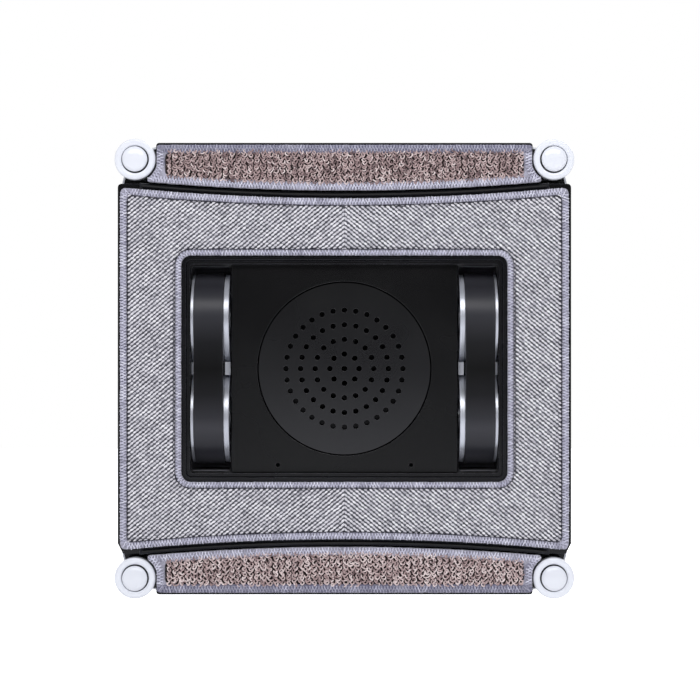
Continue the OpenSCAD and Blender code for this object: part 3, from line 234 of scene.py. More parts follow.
def turned(name, profile, x, z):
    """A turned piece from its profile of (radius, depth) in millimetres, about an axis along Y."""
    mesh = bpy.data.meshes.new(name)
    points = [(r * MM, d * MM, 0) for r, d in profile]
    sides = [(i, i + 1) for i in range(len(profile) - 1)]
    mesh.from_pydata(points, sides, [])
    made = bpy.data.objects.new(name, mesh)
    scene.collection.objects.link(made)
    select_only(made)
    bpy.ops.object.mode_set(mode="EDIT")
    bpy.ops.mesh.select_all(action="SELECT")
    bpy.ops.mesh.spin(steps=72, angle=2 * math.pi, center=(0, 0, 0), axis=(0, 1, 0))
    bpy.ops.mesh.select_all(action="SELECT")
    bpy.ops.mesh.remove_doubles(threshold=0.001 * MM)
    bpy.ops.mesh.normals_make_consistent(inside=False)
    bpy.ops.object.mode_set(mode="OBJECT")
    made.data.transform(Matrix.Translation((x * MM, 0, z * MM)))
    return made


def rice_grain(name, long, wide, high):
    """One float of the weave: a plump grain, flat behind, long in X and proud towards -Y."""
    bpy.ops.object.select_all(action="DESELECT")
    bpy.ops.mesh.primitive_uv_sphere_add(segments=8, ring_count=6, radius=1, rotation=(0, math.pi / 2, 0))
    made = bpy.context.object
    made.name = name
    bpy.ops.object.transform_apply(location=True, rotation=True, scale=True)
    bpy.ops.object.mode_set(mode="EDIT")
    bpy.ops.mesh.select_all(action="SELECT")
    bpy.ops.mesh.bisect(plane_co=(0, 0.2, 0), plane_no=(0, 1, 0), clear_outer=True, use_fill=False)
    bpy.ops.mesh.select_all(action="SELECT")
    bpy.ops.transform.resize(value=(long / 2, high, wide / 2), center_override=(0, 0, 0))
    bpy.ops.object.mode_set(mode="OBJECT")
    made.data.transform(Matrix.Translation((0, high, 0)))
    return made


def copies(name, pattern, places, shades):
    """One mesh with a copy of the pattern at each place, and each copy's own shade on its points."""
    shape = [v.co.copy() for v in pattern.data.vertices]
    sides = [tuple(p.vertices) for p in pattern.data.polygons]
    points, faces = [], []
    for k, place in enumerate(places):
        points += [place @ co for co in shape]
        faces += [tuple(i + k * len(shape) for i in side) for side in sides]
    mesh = bpy.data.meshes.new(name)
    mesh.from_pydata(points, [], faces)
    made = bpy.data.objects.new(name, mesh)
    scene.collection.objects.link(made)
    tone = mesh.attributes.new("tone", "FLOAT", "POINT")
    tone.data.foreach_set("value", [s for s in shades for _ in shape])
    return made


def place_at(x, depth, z, turn, tilt=0.0, size=(1, 1, 1)):
    """Where a copy goes: turn is about the depth, tilt leans it over. Lengths are in millimetres."""
    return (
        Matrix.Translation((x * MM, depth * MM, z * MM))
        @ Matrix.Rotation(-turn, 4, "Y")
        @ Matrix.Rotation(tilt, 4, "X")
        @ Matrix.Diagonal((*size, 1))
    )


# Materials

def add(tree, kind, settings=None, inputs=None):
    """Adds a node, with its settings and with its inputs set or linked."""
    made = tree.nodes.new(kind)
    for key, value in (settings or {}).items():
        setattr(made, key, value)
    for key, value in (inputs or {}).items():
        if isinstance(value, bpy.types.NodeSocket):
            tree.links.new(value, made.inputs[key])
        else:
            made.inputs[key].default_value = value
    return made


def new_material(name):
    """An empty material, its tree and the object's own coordinates."""
    material = bpy.data.materials.new(name)
    material.use_nodes = True
    tree = material.node_tree
    tree.nodes.clear()
    place = add(tree, "ShaderNodeTexCoord").outputs["Object"]
    return material, tree, place


def close_material(tree, shader):
    """Links the finished shader to the material's output."""
    add(tree, "ShaderNodeOutputMaterial", None, {"Surface": shader.outputs[0]})


def per_mm(size):
    """Noise scale for spots of this size in millimetres."""
    return 1 / (size * MM)


def between(tree, factor, low, high):
    """Blends two colours."""
    return add(
        tree, "ShaderNodeMix", {"data_type": "RGBA"}, {0: factor, 6: low, 7: high}
    ).outputs[2]


def stretched(tree, value, low, high, to_low=0.0, to_high=1.0):
    """Maps a value's range to another."""
    return add(
        tree, "ShaderNodeMapRange", None, {0: value, 1: low, 2: high, 3: to_low, 4: to_high}
    ).outputs[0]


def near_edges(tree, radius):
    """A softened normal, and how near to an edge a point is."""
    soft = add(tree, "ShaderNodeBevel", {"samples": 6}, {"Radius": radius * MM}).outputs[0]
    true = add(tree, "ShaderNodeNewGeometry").outputs["Normal"]
    same = add(
        tree, "ShaderNodeVectorMath", {"operation": "DOT_PRODUCT"}, {0: soft, 1: true}
    ).outputs["Value"]
    return soft, stretched(tree, same, 0.999, 0.86)


def moulded(name, colour, rough, grain, relief, coat=0.0, edge_mm=0.35, wear_highlight_colour="#8a8a8e", wear_highlight_amount=0.12,
            shade=None, gloss=0.5, rim_mm=1000):
    """A moulded plastic or rubber. grain is the size of its texture and relief its height, both in mm.
    wear_highlight_colour is the colour of its edges, which are partly worn and partly painted
    highlights, and wear_highlight_amount how much of it shows. gloss is how strongly it reflects.
    shade gives its colours at heights in millimetres, from the lowest to the highest, and paints light
    and shade by height. rim_mm is the radius past which a painted shadow, near black and without
    reflections, fills the gap round a disc, and by default lies past any piece."""
    material, tree, place = new_material(name)
    cloud = add(tree, "ShaderNodeTexNoise", None, {"Vector": place, "Scale": per_mm(45), "Detail": 3.0})
    fine = add(tree, "ShaderNodeTexNoise", None, {"Vector": place, "Scale": per_mm(grain), "Detail": 2.0})
    soft, edge = near_edges(tree, edge_mm)
    base = linear(colour)
    dull = tuple(c * 0.93 for c in base[:3]) + (1.0,)
    tone = between(tree, stretched(tree, cloud.outputs[0], 0.3, 0.7), dull, base)
    if shade:
        height = add(tree, "ShaderNodeSeparateXYZ", None, {"Vector": place}).outputs["Z"]
        low, high = shade[0][0], shade[-1][0]
        ramp = add(tree, "ShaderNodeValToRGB", None, {"Fac": stretched(tree, height, low * MM, high * MM)})
        stops = ramp.color_ramp.elements
        stops[0].color, stops[1].color = linear(shade[0][1]), linear(shade[-1][1])
        for at, code in shade[1:-1]:
            stops.new((at - low) / (high - low)).color = linear(code)
        tone = ramp.outputs[0]
    # Paler edges, partly wear and partly painted highlights
    wear_highlight_mask = add(
        tree, "ShaderNodeMath", {"operation": "MULTIPLY"},
        {0: edge, 1: stretched(tree, cloud.outputs[0], 0.42, 0.6, wear_highlight_amount * 0.6, wear_highlight_amount)},
    ).outputs[0]
    tone = between(tree, wear_highlight_mask, tone, linear(wear_highlight_colour))
    # Painted shadow: past rim_mm the colour turns near black and the reflections fade, for the gap round a
    # disc
    flat = add(tree, "ShaderNodeVectorMath", {"operation": "MULTIPLY"}, {0: place, 1: (1, 0, 1)}).outputs[0]
    radius = add(tree, "ShaderNodeVectorMath", {"operation": "LENGTH"}, {0: flat}).outputs["Value"]
    shadow_gap = stretched(tree, radius, rim_mm * MM, (rim_mm + 0.05) * MM)
    tone = between(tree, shadow_gap, tone, linear("#020202"))
    bump = add(
        tree, "ShaderNodeBump", None,
        {"Height": fine.outputs[0], "Distance": relief * MM, "Strength": 0.6, "Normal": soft},
    )
    shader = add(tree, "ShaderNodeBsdfPrincipled", None, {
        "Base Color": tone,
        "Roughness": stretched(tree, cloud.outputs[0], 0.3, 0.7, rough * 0.88, rough * 1.12),
        "IOR": 1.5,
        "Specular IOR Level": stretched(tree, shadow_gap, 0, 1, gloss, 0),
        "Coat Weight": coat,
        "Coat Roughness": 0.08,
        "Normal": bump.outputs[0],
    })
    close_material(tree, shader)
    return material


def metal(name, colour, rough, line_mm, stretch=(1, 1, 1), edge_mm=0.2, plating=1.0):
    """A metal with fine tool lines: line_mm apart, drawn out along the axis that stretch makes small.
    plating is how metallic it looks."""
    material, tree, place = new_material(name)
    along = add(tree, "ShaderNodeMapping", None, {"Vector": place, "Scale": stretch}).outputs[0]
    lines = add(tree, "ShaderNodeTexNoise", None, {"Vector": along, "Scale": per_mm(line_mm), "Detail": 3.0})
    cloud = add(tree, "ShaderNodeTexNoise", None, {"Vector": place, "Scale": per_mm(18), "Detail": 2.0})
    soft, edge = near_edges(tree, edge_mm)
    base = linear(colour)
    dull = tuple(c * 0.8 for c in base[:3]) + (1.0,)
    tone = between(tree, stretched(tree, cloud.outputs[0], 0.35, 0.65), dull, base)
    tone = between(tree, stretched(tree, edge, 0, 1, 0, 0.4), tone, linear("#f2f3f5"))
    bump = add(
        tree, "ShaderNodeBump", None,
        {"Height": lines.outputs[0], "Distance": 0.01 * MM, "Strength": 0.35, "Normal": soft},
    )
    shader = add(tree, "ShaderNodeBsdfPrincipled", None, {
        "Base Color": tone,
        "Metallic": plating,
        "Roughness": stretched(tree, lines.outputs[0], 0.3, 0.7, rough * 0.8, rough * 1.25),
        "Normal": bump.outputs[0],
    })
    close_material(tree, shader)
    return material


def yarn(name, dark, middle, light, fibre_mm, rough=0.85, sheen=0.35, relief=0.08):
    """Spun or looped yarn: three tones picked by each copy's own shade, with fine fibres and a sheen."""
    material, tree, place = new_material(name)
    tone = add(tree, "ShaderNodeAttribute", {"attribute_name": "tone"}).outputs["Fac"]
    fibres = add(
        tree, "ShaderNodeTexNoise", None, {"Vector": place, "Scale": per_mm(fibre_mm), "Detail": 4.0}
    )
    patches = add(tree, "ShaderNodeTexNoise", None, {"Vector": place, "Scale": per_mm(9), "Detail": 2.0})
    mixed = add(
        tree, "ShaderNodeMath", {"operation": "ADD", "use_clamp": True},
        {0: stretched(tree, fibres.outputs[0], 0.3, 0.7, -0.22, 0.22), 1: tone},
    ).outputs[0]
    mixed = add(
        tree, "ShaderNodeMath", {"operation": "ADD", "use_clamp": True},
        {0: mixed, 1: stretched(tree, patches.outputs[0], 0.3, 0.7, -0.12, 0.12)},
    ).outputs[0]
    ramp = add(tree, "ShaderNodeValToRGB", None, {"Fac": mixed})
    stops = ramp.color_ramp.elements
    stops[0].color, stops[1].color = linear(dark), linear(light)
    stops.new(0.5).color = linear(middle)
    bump = add(
        tree, "ShaderNodeBump", None,
        {"Height": fibres.outputs[0], "Distance": relief * MM, "Strength": 0.7},
    )
    shader = add(tree, "ShaderNodeBsdfPrincipled", None, {
        "Base Color": ramp.outputs[0],
        "Roughness": rough,
        "Sheen Weight": sheen,
        "Sheen Roughness": 0.5,
        "Specular IOR Level": 0.25,
        "Normal": bump.outputs[0],
    })
    close_material(tree, shader)
    return material


def mirrored_shade(stops):
    """Colours at heights from the middle up, and the same from the middle down."""
    return [(-z, code) for z, code in reversed(stops) if z] + stops


# Gloss white ABS, polished tool: clear highlights, a cold white
gloss_white = moulded("gloss_white_abs", "#f6f8fe", 0.16, 5.0, 0.006, coat=0.35, wear_highlight_colour="#f4f5f8", wear_highlight_amount=0.05)
# The same ABS from a fine satin tool, on the cover and the handle
satin_white = moulded("satin_white_abs", "#e9ebf1", 0.32, 0.5, 0.006, coat=0.1, wear_highlight_colour="#f4f5f8", wear_highlight_amount=0.05)
# Black ABS with a fine spark-eroded grain, on the base plate; its pale edges are partly wear and partly
# painted highlights
plate_black = moulded("grained_black_abs", "#0a0a0b", 0.26, 0.35, 0.012, wear_highlight_colour="#5c5c60", wear_highlight_amount=0.5)
# Charcoal ABS disc over the suction inlet, with a painted reflection that makes it a little paler towards its
# lower side
disc_grey = moulded(
    # Its pale edges are partly wear and partly painted highlights, and a painted shadow fills the gap round
    # it
    "charcoal_abs_disc", "#232325", 0.29, 0.3, 0.01, edge_mm=0.3, wear_highlight_colour="#6a6a6c", wear_highlight_amount=0.5,
    rim_mm=DISC_SHADOW_GAP, shade=[(-DISC_SHADOW_GAP, "#2e2e30"), (0, "#18181a"), (DISC_SHADOW_GAP, "#0e0e0f")],
)
# Black ABS chassis: satin, with pale edges that are partly wear and partly painted highlights
chassis_black = moulded(
    "satin_black_abs", "#0b0b0e", 0.26, 0.6, 0.008, edge_mm=0.3, wear_highlight_colour="#6a6a78", wear_highlight_amount=0.5,
)
# Glass-filled nylon of the tread frames: charcoal, with pale ribs between the wheels and ends painted lighter
# grey as painted light in the shaded wells
CHARCOAL, RIB_PALE, END_LIT_GREY = "#2c2c30", "#d8dae2", "#8a8a90"
frame_nylon = moulded(
    # Its pale edges are partly wear and partly painted highlights
    "glass_filled_nylon", CHARCOAL, 0.45, 0.4, 0.012, wear_highlight_colour="#6a6a6e", wear_highlight_amount=0.3,
    shade=mirrored_shade([
        (5.5, RIB_PALE), (6, CHARCOAL), (49.5, CHARCOAL), (50.5, END_LIT_GREY), (60, END_LIT_GREY),
    ]),
)
# Black nylon: matt, with scuffed edges
nylon_black = moulded("black_nylon", "#1a1a1b", 0.5, 0.4, 0.012, wear_highlight_colour="#4a4a4a", wear_highlight_amount=0.2)
# Glossy black nylon of the blower, near black so that the vent holes before it show painted shade
blower_black = moulded("gloss_black_nylon", "#040405", 0.15, 0.8, 0.004, wear_highlight_colour="#2a2a2b", wear_highlight_amount=0.1)
# Black silicone rubber of the wiper blades
blade_rubber = moulded("black_wiper_rubber", "#0b0b0d", 0.55, 0.8, 0.02, wear_highlight_colour="#3a3a3e", wear_highlight_amount=0.3)
# Polyurethane belt with painted highlights: darkest in the middle and paler grey towards the bends
belt_rubber = moulded(
    # Its pale edges are partly wear and partly painted highlights
    "ground_polyurethane", "#0c0c0f", 0.34, 0.6, 0.006, wear_highlight_colour="#77777f", wear_highlight_amount=0.5, gloss=0.28,
    shade=mirrored_shade([
        (0, "#060607"), (14, "#18181b"), (32, "#38383d"), (44, "#2c2c31"), (52, "#3a3a40"),
    ]),
)
# Soft-touch rubber on the handle
grip_rubber = moulded("soft_touch_rubber", "#3b3c42", 0.62, 0.5, 0.02, wear_highlight_colour="#65666c", wear_highlight_amount=0.2)
# Frosted polycarbonate over the lamp
lamp_plastic = moulded("frosted_polycarbonate", "#9fc4e8", 0.4, 0.6, 0.01, wear_highlight_colour="#d8e6f4", wear_highlight_amount=0.1)
# Light grey ABS of the start button and the exhaust grille
button_grey = moulded("satin_grey_abs", "#a9adb8", 0.3, 0.5, 0.006, wear_highlight_colour="#d8dade", wear_highlight_amount=0.15)
# Pearl nickel plating on the tread wheels: bright, half matt
plated_steel = metal("pearl_nickel_plating", "#dcdfe8", 0.34, 0.6, plating=0.6)
# Black anodised aluminium rail, drawn along X
black_anodised = metal("black_anodised_aluminium", "#3b3b40", 0.4, 0.5, (0.03, 1, 1))
# Zinc plated motor cans, turned, and the tether's eye
zinc_can = metal("zinc_plated_can", "#b9bcc2", 0.3, 0.4, (1, 0.05, 1))
# Spring steel, drawn wire
spring_steel = metal("drawn_spring_steel", "#a8abb0", 0.26, 0.3)
# Black oxide screws
oxide_steel = metal("black_oxide_steel", "#2a2a2c", 0.38, 0.4)
# Gloss black case of the power inlet and its rocker
socket_black = moulded("gloss_black_pbt", "#151517", 0.22, 1.5, 0.006, wear_highlight_colour="#4a4a4e", wear_highlight_amount=0.2)
# Shrink film round the cells
film_blue = moulded("blue_shrink_film", "#2f5f9c", 0.25, 4.0, 0.05, coat=0.3, wear_highlight_colour="#6f93c0", wear_highlight_amount=0.2)


def board_material():
    """Glass-fibre board under green lacquer, with its copper tracks; the components above it are black."""
    material, tree, place = new_material("green_lacquered_board")
    tracks = add(tree, "ShaderNodeTexBrick", {"offset": 0.37}, {
        "Vector": place, "Scale": per_mm(9), "Color1": linear("#1d6a44"), "Color2": linear("#195c3b"),
        "Mortar": linear("#3f9a62"), "Mortar Size": 0.03, "Brick Width": 0.9, "Row Height": 0.35,
    })
    fine = add(tree, "ShaderNodeTexNoise", None, {"Vector": place, "Scale": per_mm(0.6)})
    depth = add(tree, "ShaderNodeSeparateXYZ", None, {"Vector": place}).outputs["Y"]
    above = stretched(tree, depth, BOARD_BACK * MM, (BOARD_BACK + 0.1) * MM)
    bump = add(tree, "ShaderNodeBump", None, {"Height": tracks.outputs["Fac"], "Distance": 0.03 * MM})
    close_material(tree, add(tree, "ShaderNodeBsdfPrincipled", None, {
        "Base Color": between(tree, above, tracks.outputs[0], linear("#26262a")),
        "Roughness": stretched(tree, fine.outputs[0], 0.3, 0.7, 0.25, 0.4),
        "Normal": bump.outputs[0],
    }))
    return material


def hook_tape():
    """Woven nylon tape with rows of small hooks, 1.3 mm apart, with painted shade in the hollows between
    them.
    """
    material, tree, place = new_material("nylon_hook_tape")
    hooks = add(
        tree, "ShaderNodeTexVoronoi", None, {"Vector": place, "Scale": per_mm(1.3), "Randomness": 0.25}
    )
    lift = stretched(tree, hooks.outputs["Distance"], 0.0, 0.5, 1.0, 0.0)
    bump = add(tree, "ShaderNodeBump", None, {"Height": lift, "Distance": 0.5 * MM})
    close_material(tree, add(tree, "ShaderNodeBsdfPrincipled", None, {
        # Painted shade: the colour darkens where the hooks' relief is low
        "Base Color": between(tree, lift, linear("#0c0c0e"), linear("#2c2c30")),
        "Roughness": 0.7,
        "Normal": bump.outputs[0],
    }))
    return material


# Woven polyester floats: silver grey with near white tops
float_yarn = yarn("woven_polyester_floats", "#b2b0b7", "#dbd8de", "#f9f7fa", 0.35)
# The ground cloth, coloured dark as painted shade between the floats
ground_cloth = yarn("ground_cloth", "#3c3c42", "#55555c", "#6c6c73", 0.4, sheen=0.1)
# Overlocked cotton thread round every edge, lavender grey
edge_thread = yarn("overlock_thread", "#9896a8", "#cfcddf", "#f2f1fc", 0.3)
# The rolled core under that thread, a shade darker
edge_core = yarn("overlock_core", "#76748a", "#9f9da9", "#bcbacc", 0.5)
# Dark sewing thread beside the overlock
seam_thread = yarn("dark_sewing_thread", "#2c2b35", "#3b3a46", "#545362", 0.3, sheen=0.1)
# Chenille loops of the strips: brown pink, some much paler
loop_pile = yarn("chenille_loops", "#70595a", "#bca2a0", "#f2e2df", 0.35, sheen=0.45)
# The ground between the loops, coloured dark as painted shade
pile_ground = yarn("pile_ground", "#1c1413", "#2b201f", "#453634", 0.5, sheen=0.1)


# The cloth body of a pad

def soften(obj, voxel, pressure, limit, frames):
    """Remeshes a copied solid and swells it with a short cloth simulation, capped at limit, in
    mm."""
    select_only(obj)
    obj.data.remesh_voxel_size = voxel * MM
    obj.data.use_remesh_fix_poles = False
    bpy.ops.object.voxel_remesh()
    flat = [v.co.copy() for v in obj.data.vertices]
    cloth = obj.modifiers.new("cloth", "CLOTH")
    cloth.settings.use_pressure = True
    cloth.settings.uniform_pressure_force = pressure
    cloth.settings.effector_weights.gravity = 0
    cloth.settings.quality = 4
    for step in range(1, frames + 1):
        scene.frame_set(step)
    select_only(obj)
    bpy.ops.object.modifier_apply(modifier=cloth.name)
    scene.frame_set(1)
    for v, was in zip(obj.data.vertices, flat):
        move = v.co - was
        if move.length > limit * MM:
            v.co = was + move.normalized() * limit * MM


def cloth_copy(name, node, front, back):
    """A merged copy of a soft CAD solid, pressed to lie between two depths."""
    made = bpy.data.objects.new(name, nodes[node].data.copy())
    scene.collection.objects.link(made)
    select_only(made)
    bpy.ops.object.mode_set(mode="EDIT")
    bpy.ops.mesh.select_all(action="SELECT")
    bpy.ops.mesh.remove_doubles(threshold=0.01 * MM)
    bpy.ops.mesh.normals_make_consistent(inside=False)
    bpy.ops.object.mode_set(mode="OBJECT")
    low = min(v.co.y for v in made.data.vertices)
    high = max(v.co.y for v in made.data.vertices)
    for v in made.data.vertices:
        v.co.y = (front + (v.co.y - low) / (high - low) * (back - front)) * MM
    return made


def outer_dim(z):
    """How much darker the outer edge of a strip is."""
    return 0.5 if abs(z) > STRIP_REACH - DARK_EDGE_WIDTH else 0.0


def even_tone(obj, seed, size_mm):
    """Writes a soft, uneven tone on the points of a cloth body."""
    tone = obj.data.attributes.new("tone", "FLOAT", "POINT")
    offset = Vector((seed, seed * 0.7, 0))
    values = [
        0.5 + 0.5 * noise.noise(v.co / (size_mm * MM) + offset) - outer_dim(v.co.z / MM)
        for v in obj.data.vertices
    ]
    tone.data.foreach_set("value", values)


def fluff(obj, height, size_mm, seed):
    """Moves the points of a cloth body a little along their normals."""
    offset = Vector((seed, 0, seed * 1.3))
    normals = [v.normal.copy() for v in obj.data.vertices]
    for v, n in zip(obj.data.vertices, normals):
        v.co += n * (height * MM * noise.noise(v.co / (size_mm * MM) + offset))


def rolled_edge(name, node, seed, back=3.9):
    """The rolled core of an overlocked edge."""
    made = cloth_copy(name, node, EDGE_FRONT, back)
    select_only(made)
    made.data.remesh_voxel_size = 0.8 * MM
    bpy.ops.object.voxel_remesh()
    apply_modifier(made, "SMOOTH", factor=0.5, iterations=8)
    fluff(made, height=0.25, size_mm=1.2, seed=seed)
    even_tone(made, seed, size_mm=4.0)
    return made


# The sewing, in millimetres and degrees: the distances between overlock legs and between seam
# stitches, how far in from the binding the seam lies, and how far the legs lean, forth and back
LEG_PITCH = 0.8
SEAM_PITCH = 2.4
SEAM_GAP = 0.1
LEG_LEAN = 24
LEG_LEAN_BACK = -20


def overlock(name, paths):
    """Thread legs laid over an edge, leaning one way and the other. Each path has its legs' length as
    a share of the modelled leg's."""
    places, shades = [], []
    for path, reach in paths:
        for k, (at, way) in enumerate(steps_along(path, LEG_PITCH)):
            across = math.atan2(way.y, way.x) + math.pi / 2
            lean = math.radians(LEG_LEAN if k % 2 else LEG_LEAN_BACK) + scatter(0.16)
            long = reach * rng.uniform(0.9, 1.1)
            shift = scatter(0.12)
            x = at.x + math.cos(across) * shift
            z = at.y + math.sin(across) * shift
            places.append(place_at(x, rng.uniform(0.02, 0.22), z, across + lean, 0, (long, 1, 1)))
            shades.append(shade_about(0.55, 0.2, outer_dim(z)))
    return copies(name, edge_leg, places, shades)


# One of each thread, loop and float, which are copied many times
edge_leg = arc_thread("edge_leg", thick=0.3 * MM, bend=3.6 * MM, sweep=62, sides=5, steps=5)
seam_leg = arc_thread("seam_leg", thick=0.22 * MM, bend=2.4 * MM, sweep=50, sides=5, steps=3)
pile_loop = arc_thread("pile_loop", thick=0.38 * MM, bend=0.98 * MM, sweep=210, sides=6, steps=7)
float_grain = rice_grain("float_grain", long=2.2 * MM, wide=1.26 * MM, high=0.55 * MM)

# Main pad: the ground cloth, swollen a little, and the floats of the weave laid on it
pad_cloth = cloth_copy("main_pad_cloth", "main_pad", GROUND_FRONT, GROUND_BACK)
soften(pad_cloth, voxel=2.0, pressure=3.0, limit=0.3, frames=14)
even_tone(pad_cloth, seed=3.0, size_mm=6.0)
finish_piece(pad_cloth, "chassis", ground_cloth)
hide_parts("main_pad")

# The weave, in millimetres and degrees: its rows climb towards the middle, and a float in the column
# at the middle leans more than the others
ROW_RISE = math.tan(math.radians(40))
COLUMN = 1.5
ROW = 2.3
WEAVE_REACH = 100
FLOAT_LEAN = -33
MIDDLE_LEAN = -48
FLOAT_PROUD = 0.5
RAY_START = -10 * MM
cloth_tree = BVHTree.FromObject(pad_cloth, bpy.context.evaluated_depsgraph_get())


def on_weave(x, z, rim=0.15):
    """Whether a float at x, z lies inside the pad's edges."""
    x, z = abs(x), abs(z)
    edge = EDGE_WIDE + rim
    if x > PAD_HALF - edge or z > bow(x, PAD_MID - edge):
        return False
    inner = WINDOW_EDGE_WIDE + rim
    beyond_x = x - (WINDOW_HALF[0] - WINDOW_CORNER)
    beyond_z = z - (WINDOW_HALF[1] - WINDOW_CORNER)
    if min(beyond_x, beyond_z) > 0:
        return math.hypot(beyond_x, beyond_z) > WINDOW_CORNER + inner
    return max(beyond_x, beyond_z) > WINDOW_CORNER + inner


def weave(name, side):
    """Half of the pad's weave: rows that climb towards the middle."""
    places, shades = [], []
    for i in range(int(PAD_HALF / COLUMN)):
        x = (i + 0.5) * COLUMN
        drop = x * ROW_RISE
        for j in range(int(-WEAVE_REACH / ROW), int((WEAVE_REACH + drop) / ROW) + 1):
            z = j * ROW - drop
            if not on_weave(x, z):
                continue
            u = x * side + scatter(0.12)
            w = z + scatter(0.12)
            hit = cloth_tree.ray_cast(Vector((u * MM, RAY_START, w * MM)), Vector((0, 1, 0)))[0]
            front = hit.y / MM if hit else GROUND_FRONT
            lean = math.radians(FLOAT_LEAN if i else MIDDLE_LEAN) + scatter(0.16)
            size = (rng.uniform(0.92, 1.08), rng.uniform(0.85, 1.1), rng.uniform(0.88, 1.08))
            places.append(place_at(u, front - FLOAT_PROUD, w, lean * side, scatter(0.12), size))
            shades.append(shade_about(0.58, 0.2))
    made = copies(name, float_grain, places, shades)
    return finish_piece(made, "chassis", float_yarn)


weave("main_pad_weave_right", 1)
weave("main_pad_weave_left", -1)

# The overlocked edges of the main pad, and the dark seam beside them
pad_edge = rolled_edge("main_pad_edge", "main_pad_binding", 5.0)
finish_piece(pad_edge, "chassis", edge_core)
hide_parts("main_pad_binding")
edge_mid = EDGE_WIDE / 2
window_mid = WINDOW_EDGE_WIDE / 2
threads = overlock("main_pad_edge_threads", [(pad_path(edge_mid), 1.0), (window_path(window_mid), 0.84)])
finish_piece(threads, "chassis", edge_thread)

seam_places, seam_shades = [], []
for path in (pad_path(EDGE_WIDE + SEAM_GAP), window_path(WINDOW_EDGE_WIDE + SEAM_GAP)):
    for at, way in steps_along(path, SEAM_PITCH):
        turn = math.atan2(way.y, way.x) + scatter(0.08)
        seam_places.append(place_at(at.x, 0.12, at.y, turn))
        seam_shades.append(rng.uniform(0.2, 0.8))
seam = copies("main_pad_seam", seam_leg, seam_places, seam_shades)
finish_piece(seam, "chassis", seam_thread)

# The looped pile, in millimetres and degrees: the distances between loops and between rows, how far
# every second loop stands up from its row, how far loops may pass the pile's outer edge and its ends,
# and how far a loop is turned from its row
PILE_PITCH = 1.68
PILE_ROW = 1.34
PILE_STAGGER = 0.3
PILE_OVER = 1.05
PILE_OVER_ENDS = 0.3
LOOP_TURN = 48


def pile(word, end):
    """The loops of one strip, in rows that follow its bowed inner edge."""
    places, shades = [], []
    count = int(PILE_HALF / PILE_PITCH)
    row = 0
    height = PILE_MID
    while height < PILE_TOP + PILE_OVER:
        for i in range(-count, count + 1):
            x = (i + (0.5 if row % 2 else 0)) * PILE_PITCH
            z = height + bow(min(abs(x), PILE_HALF), PILE_MID) - PILE_MID
            z += (i % 2) * PILE_STAGGER
            if abs(x) > PILE_HALF + PILE_OVER_ENDS or z > PILE_TOP + PILE_OVER:
                continue
            turn = math.radians(LOOP_TURN if (i + row) % 2 else -LOOP_TURN) + rng.gauss(0, 0.28)
            size = (rng.uniform(0.8, 1.15), rng.uniform(0.85, 1.05), rng.uniform(0.85, 1.1))
            spot = (x + scatter(0.25), rng.uniform(0.05, 0.75), end * (z + scatter(0.25)))
            places.append(place_at(*spot, turn, rng.gauss(0.8, 0.25), size))
            # Painted light: the bottom strip's loops are a little paler than the top strip's
            shades.append(shade_about(0.53 - 0.1 * end, 0.25))
        height += PILE_ROW
        row += 1
    loops = copies(word + "_strip_pile", pile_loop, places, shades)
    return finish_piece(loops, word + "_bumper", loop_pile)


def strip(word, end):
    """One edge strip: its ground, its overlocked edge and its loops. end is 1 at the top."""
    body = word + "_bumper"
    ground = cloth_copy(word + "_strip_cloth", word + "_strip_pad", front=1.5, back=3.4)
    soften(ground, voxel=1.6, pressure=2.0, limit=0.25, frames=8)
    even_tone(ground, seed=8.0 + end, size_mm=5.0)
    finish_piece(ground, body, pile_ground)
    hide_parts(word + "_strip_pad")

    edge = rolled_edge(word + "_strip_edge", word + "_strip_binding", seed=11.0 + end, back=3.3)
    finish_piece(edge, body, edge_core)
    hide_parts(word + "_strip_binding")
    legs = overlock(word + "_strip_edge_threads", [(strip_path(edge_mid + 0.15, end), 0.96)])
    finish_piece(legs, body, edge_thread)
    pile(word, end)


for word, end in ENDS:
    strip(word, end)

# Domed caps of the edge sensors, as points of (radius, depth). Each sits a little outwards in its
# roller, so the dark gap is wider on the inner side.
CAP_PROFILE = [
    (0, 0.02), (1.6, 0.06), (3.2, 0.22), (4.6, 0.5), (5.5, 0.82), (6.2, 1.2), (6.6, 1.66), (6.75, 2.2),
    (6.75, 3.1), (4.6, 3.2), (4.6, 10.4), (4.1, 10.4), (4.1, 4.5), (0, 4.5),
]
CAP_OUT = 0.22
for word, end in ENDS:
    for hand, side in HANDS:
        at = ROLLER_AT + CAP_OUT
        cap = turned(f"{word}_{hand}_sensor_cap", CAP_PROFILE, side * at, end * at)
        finish_piece(cap, f"{word}_{hand}_edge_sensor", gloss_white)
        select_only(cap)
        bpy.ops.object.shade_smooth_by_angle(angle=math.radians(40))
        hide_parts(f"{word}_{hand}_edge_sensor")


def coil(word, node, body, side=0):
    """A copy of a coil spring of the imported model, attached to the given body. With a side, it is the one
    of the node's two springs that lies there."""
    made = bpy.data.objects.new(word + "_coil", nodes[node].data.copy())
    scene.collection.objects.link(made)
    select_only(made)
    if side:
        bpy.ops.object.mode_set(mode="EDIT")
        bpy.ops.mesh.select_mode(type="VERT")
        bpy.ops.mesh.select_all(action="DESELECT")
        bpy.ops.object.mode_set(mode="OBJECT")
        for v in made.data.vertices:
            v.select = v.co.x * side < 0
        bpy.ops.object.mode_set(mode="EDIT")
        bpy.ops.mesh.delete(type="VERT")
        bpy.ops.object.mode_set(mode="OBJECT")
    finish_piece(made, body, spring_steel)
    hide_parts(node)
    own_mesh(made)


# The springs of the bumpers, of the edge sensors and of the button
for word, end in ENDS:
    coil(
        word + "_bumper", word + "_bumper_springs",
        body=word + "_bumper",
    )
    for hand, side in HANDS:
        coil(
            f"{word}_{hand}_sensor", word + "_sensor_springs",
            body=word + "_bumper", side=side,
        )
coil(
    "button", "button_spring",
    body="chassis",
)

# The modelled threads, loop and float have been copied and aren't pieces themselves
for spare in (edge_leg, seam_leg, pile_loop, float_grain):
    bpy.data.objects.remove(spare)

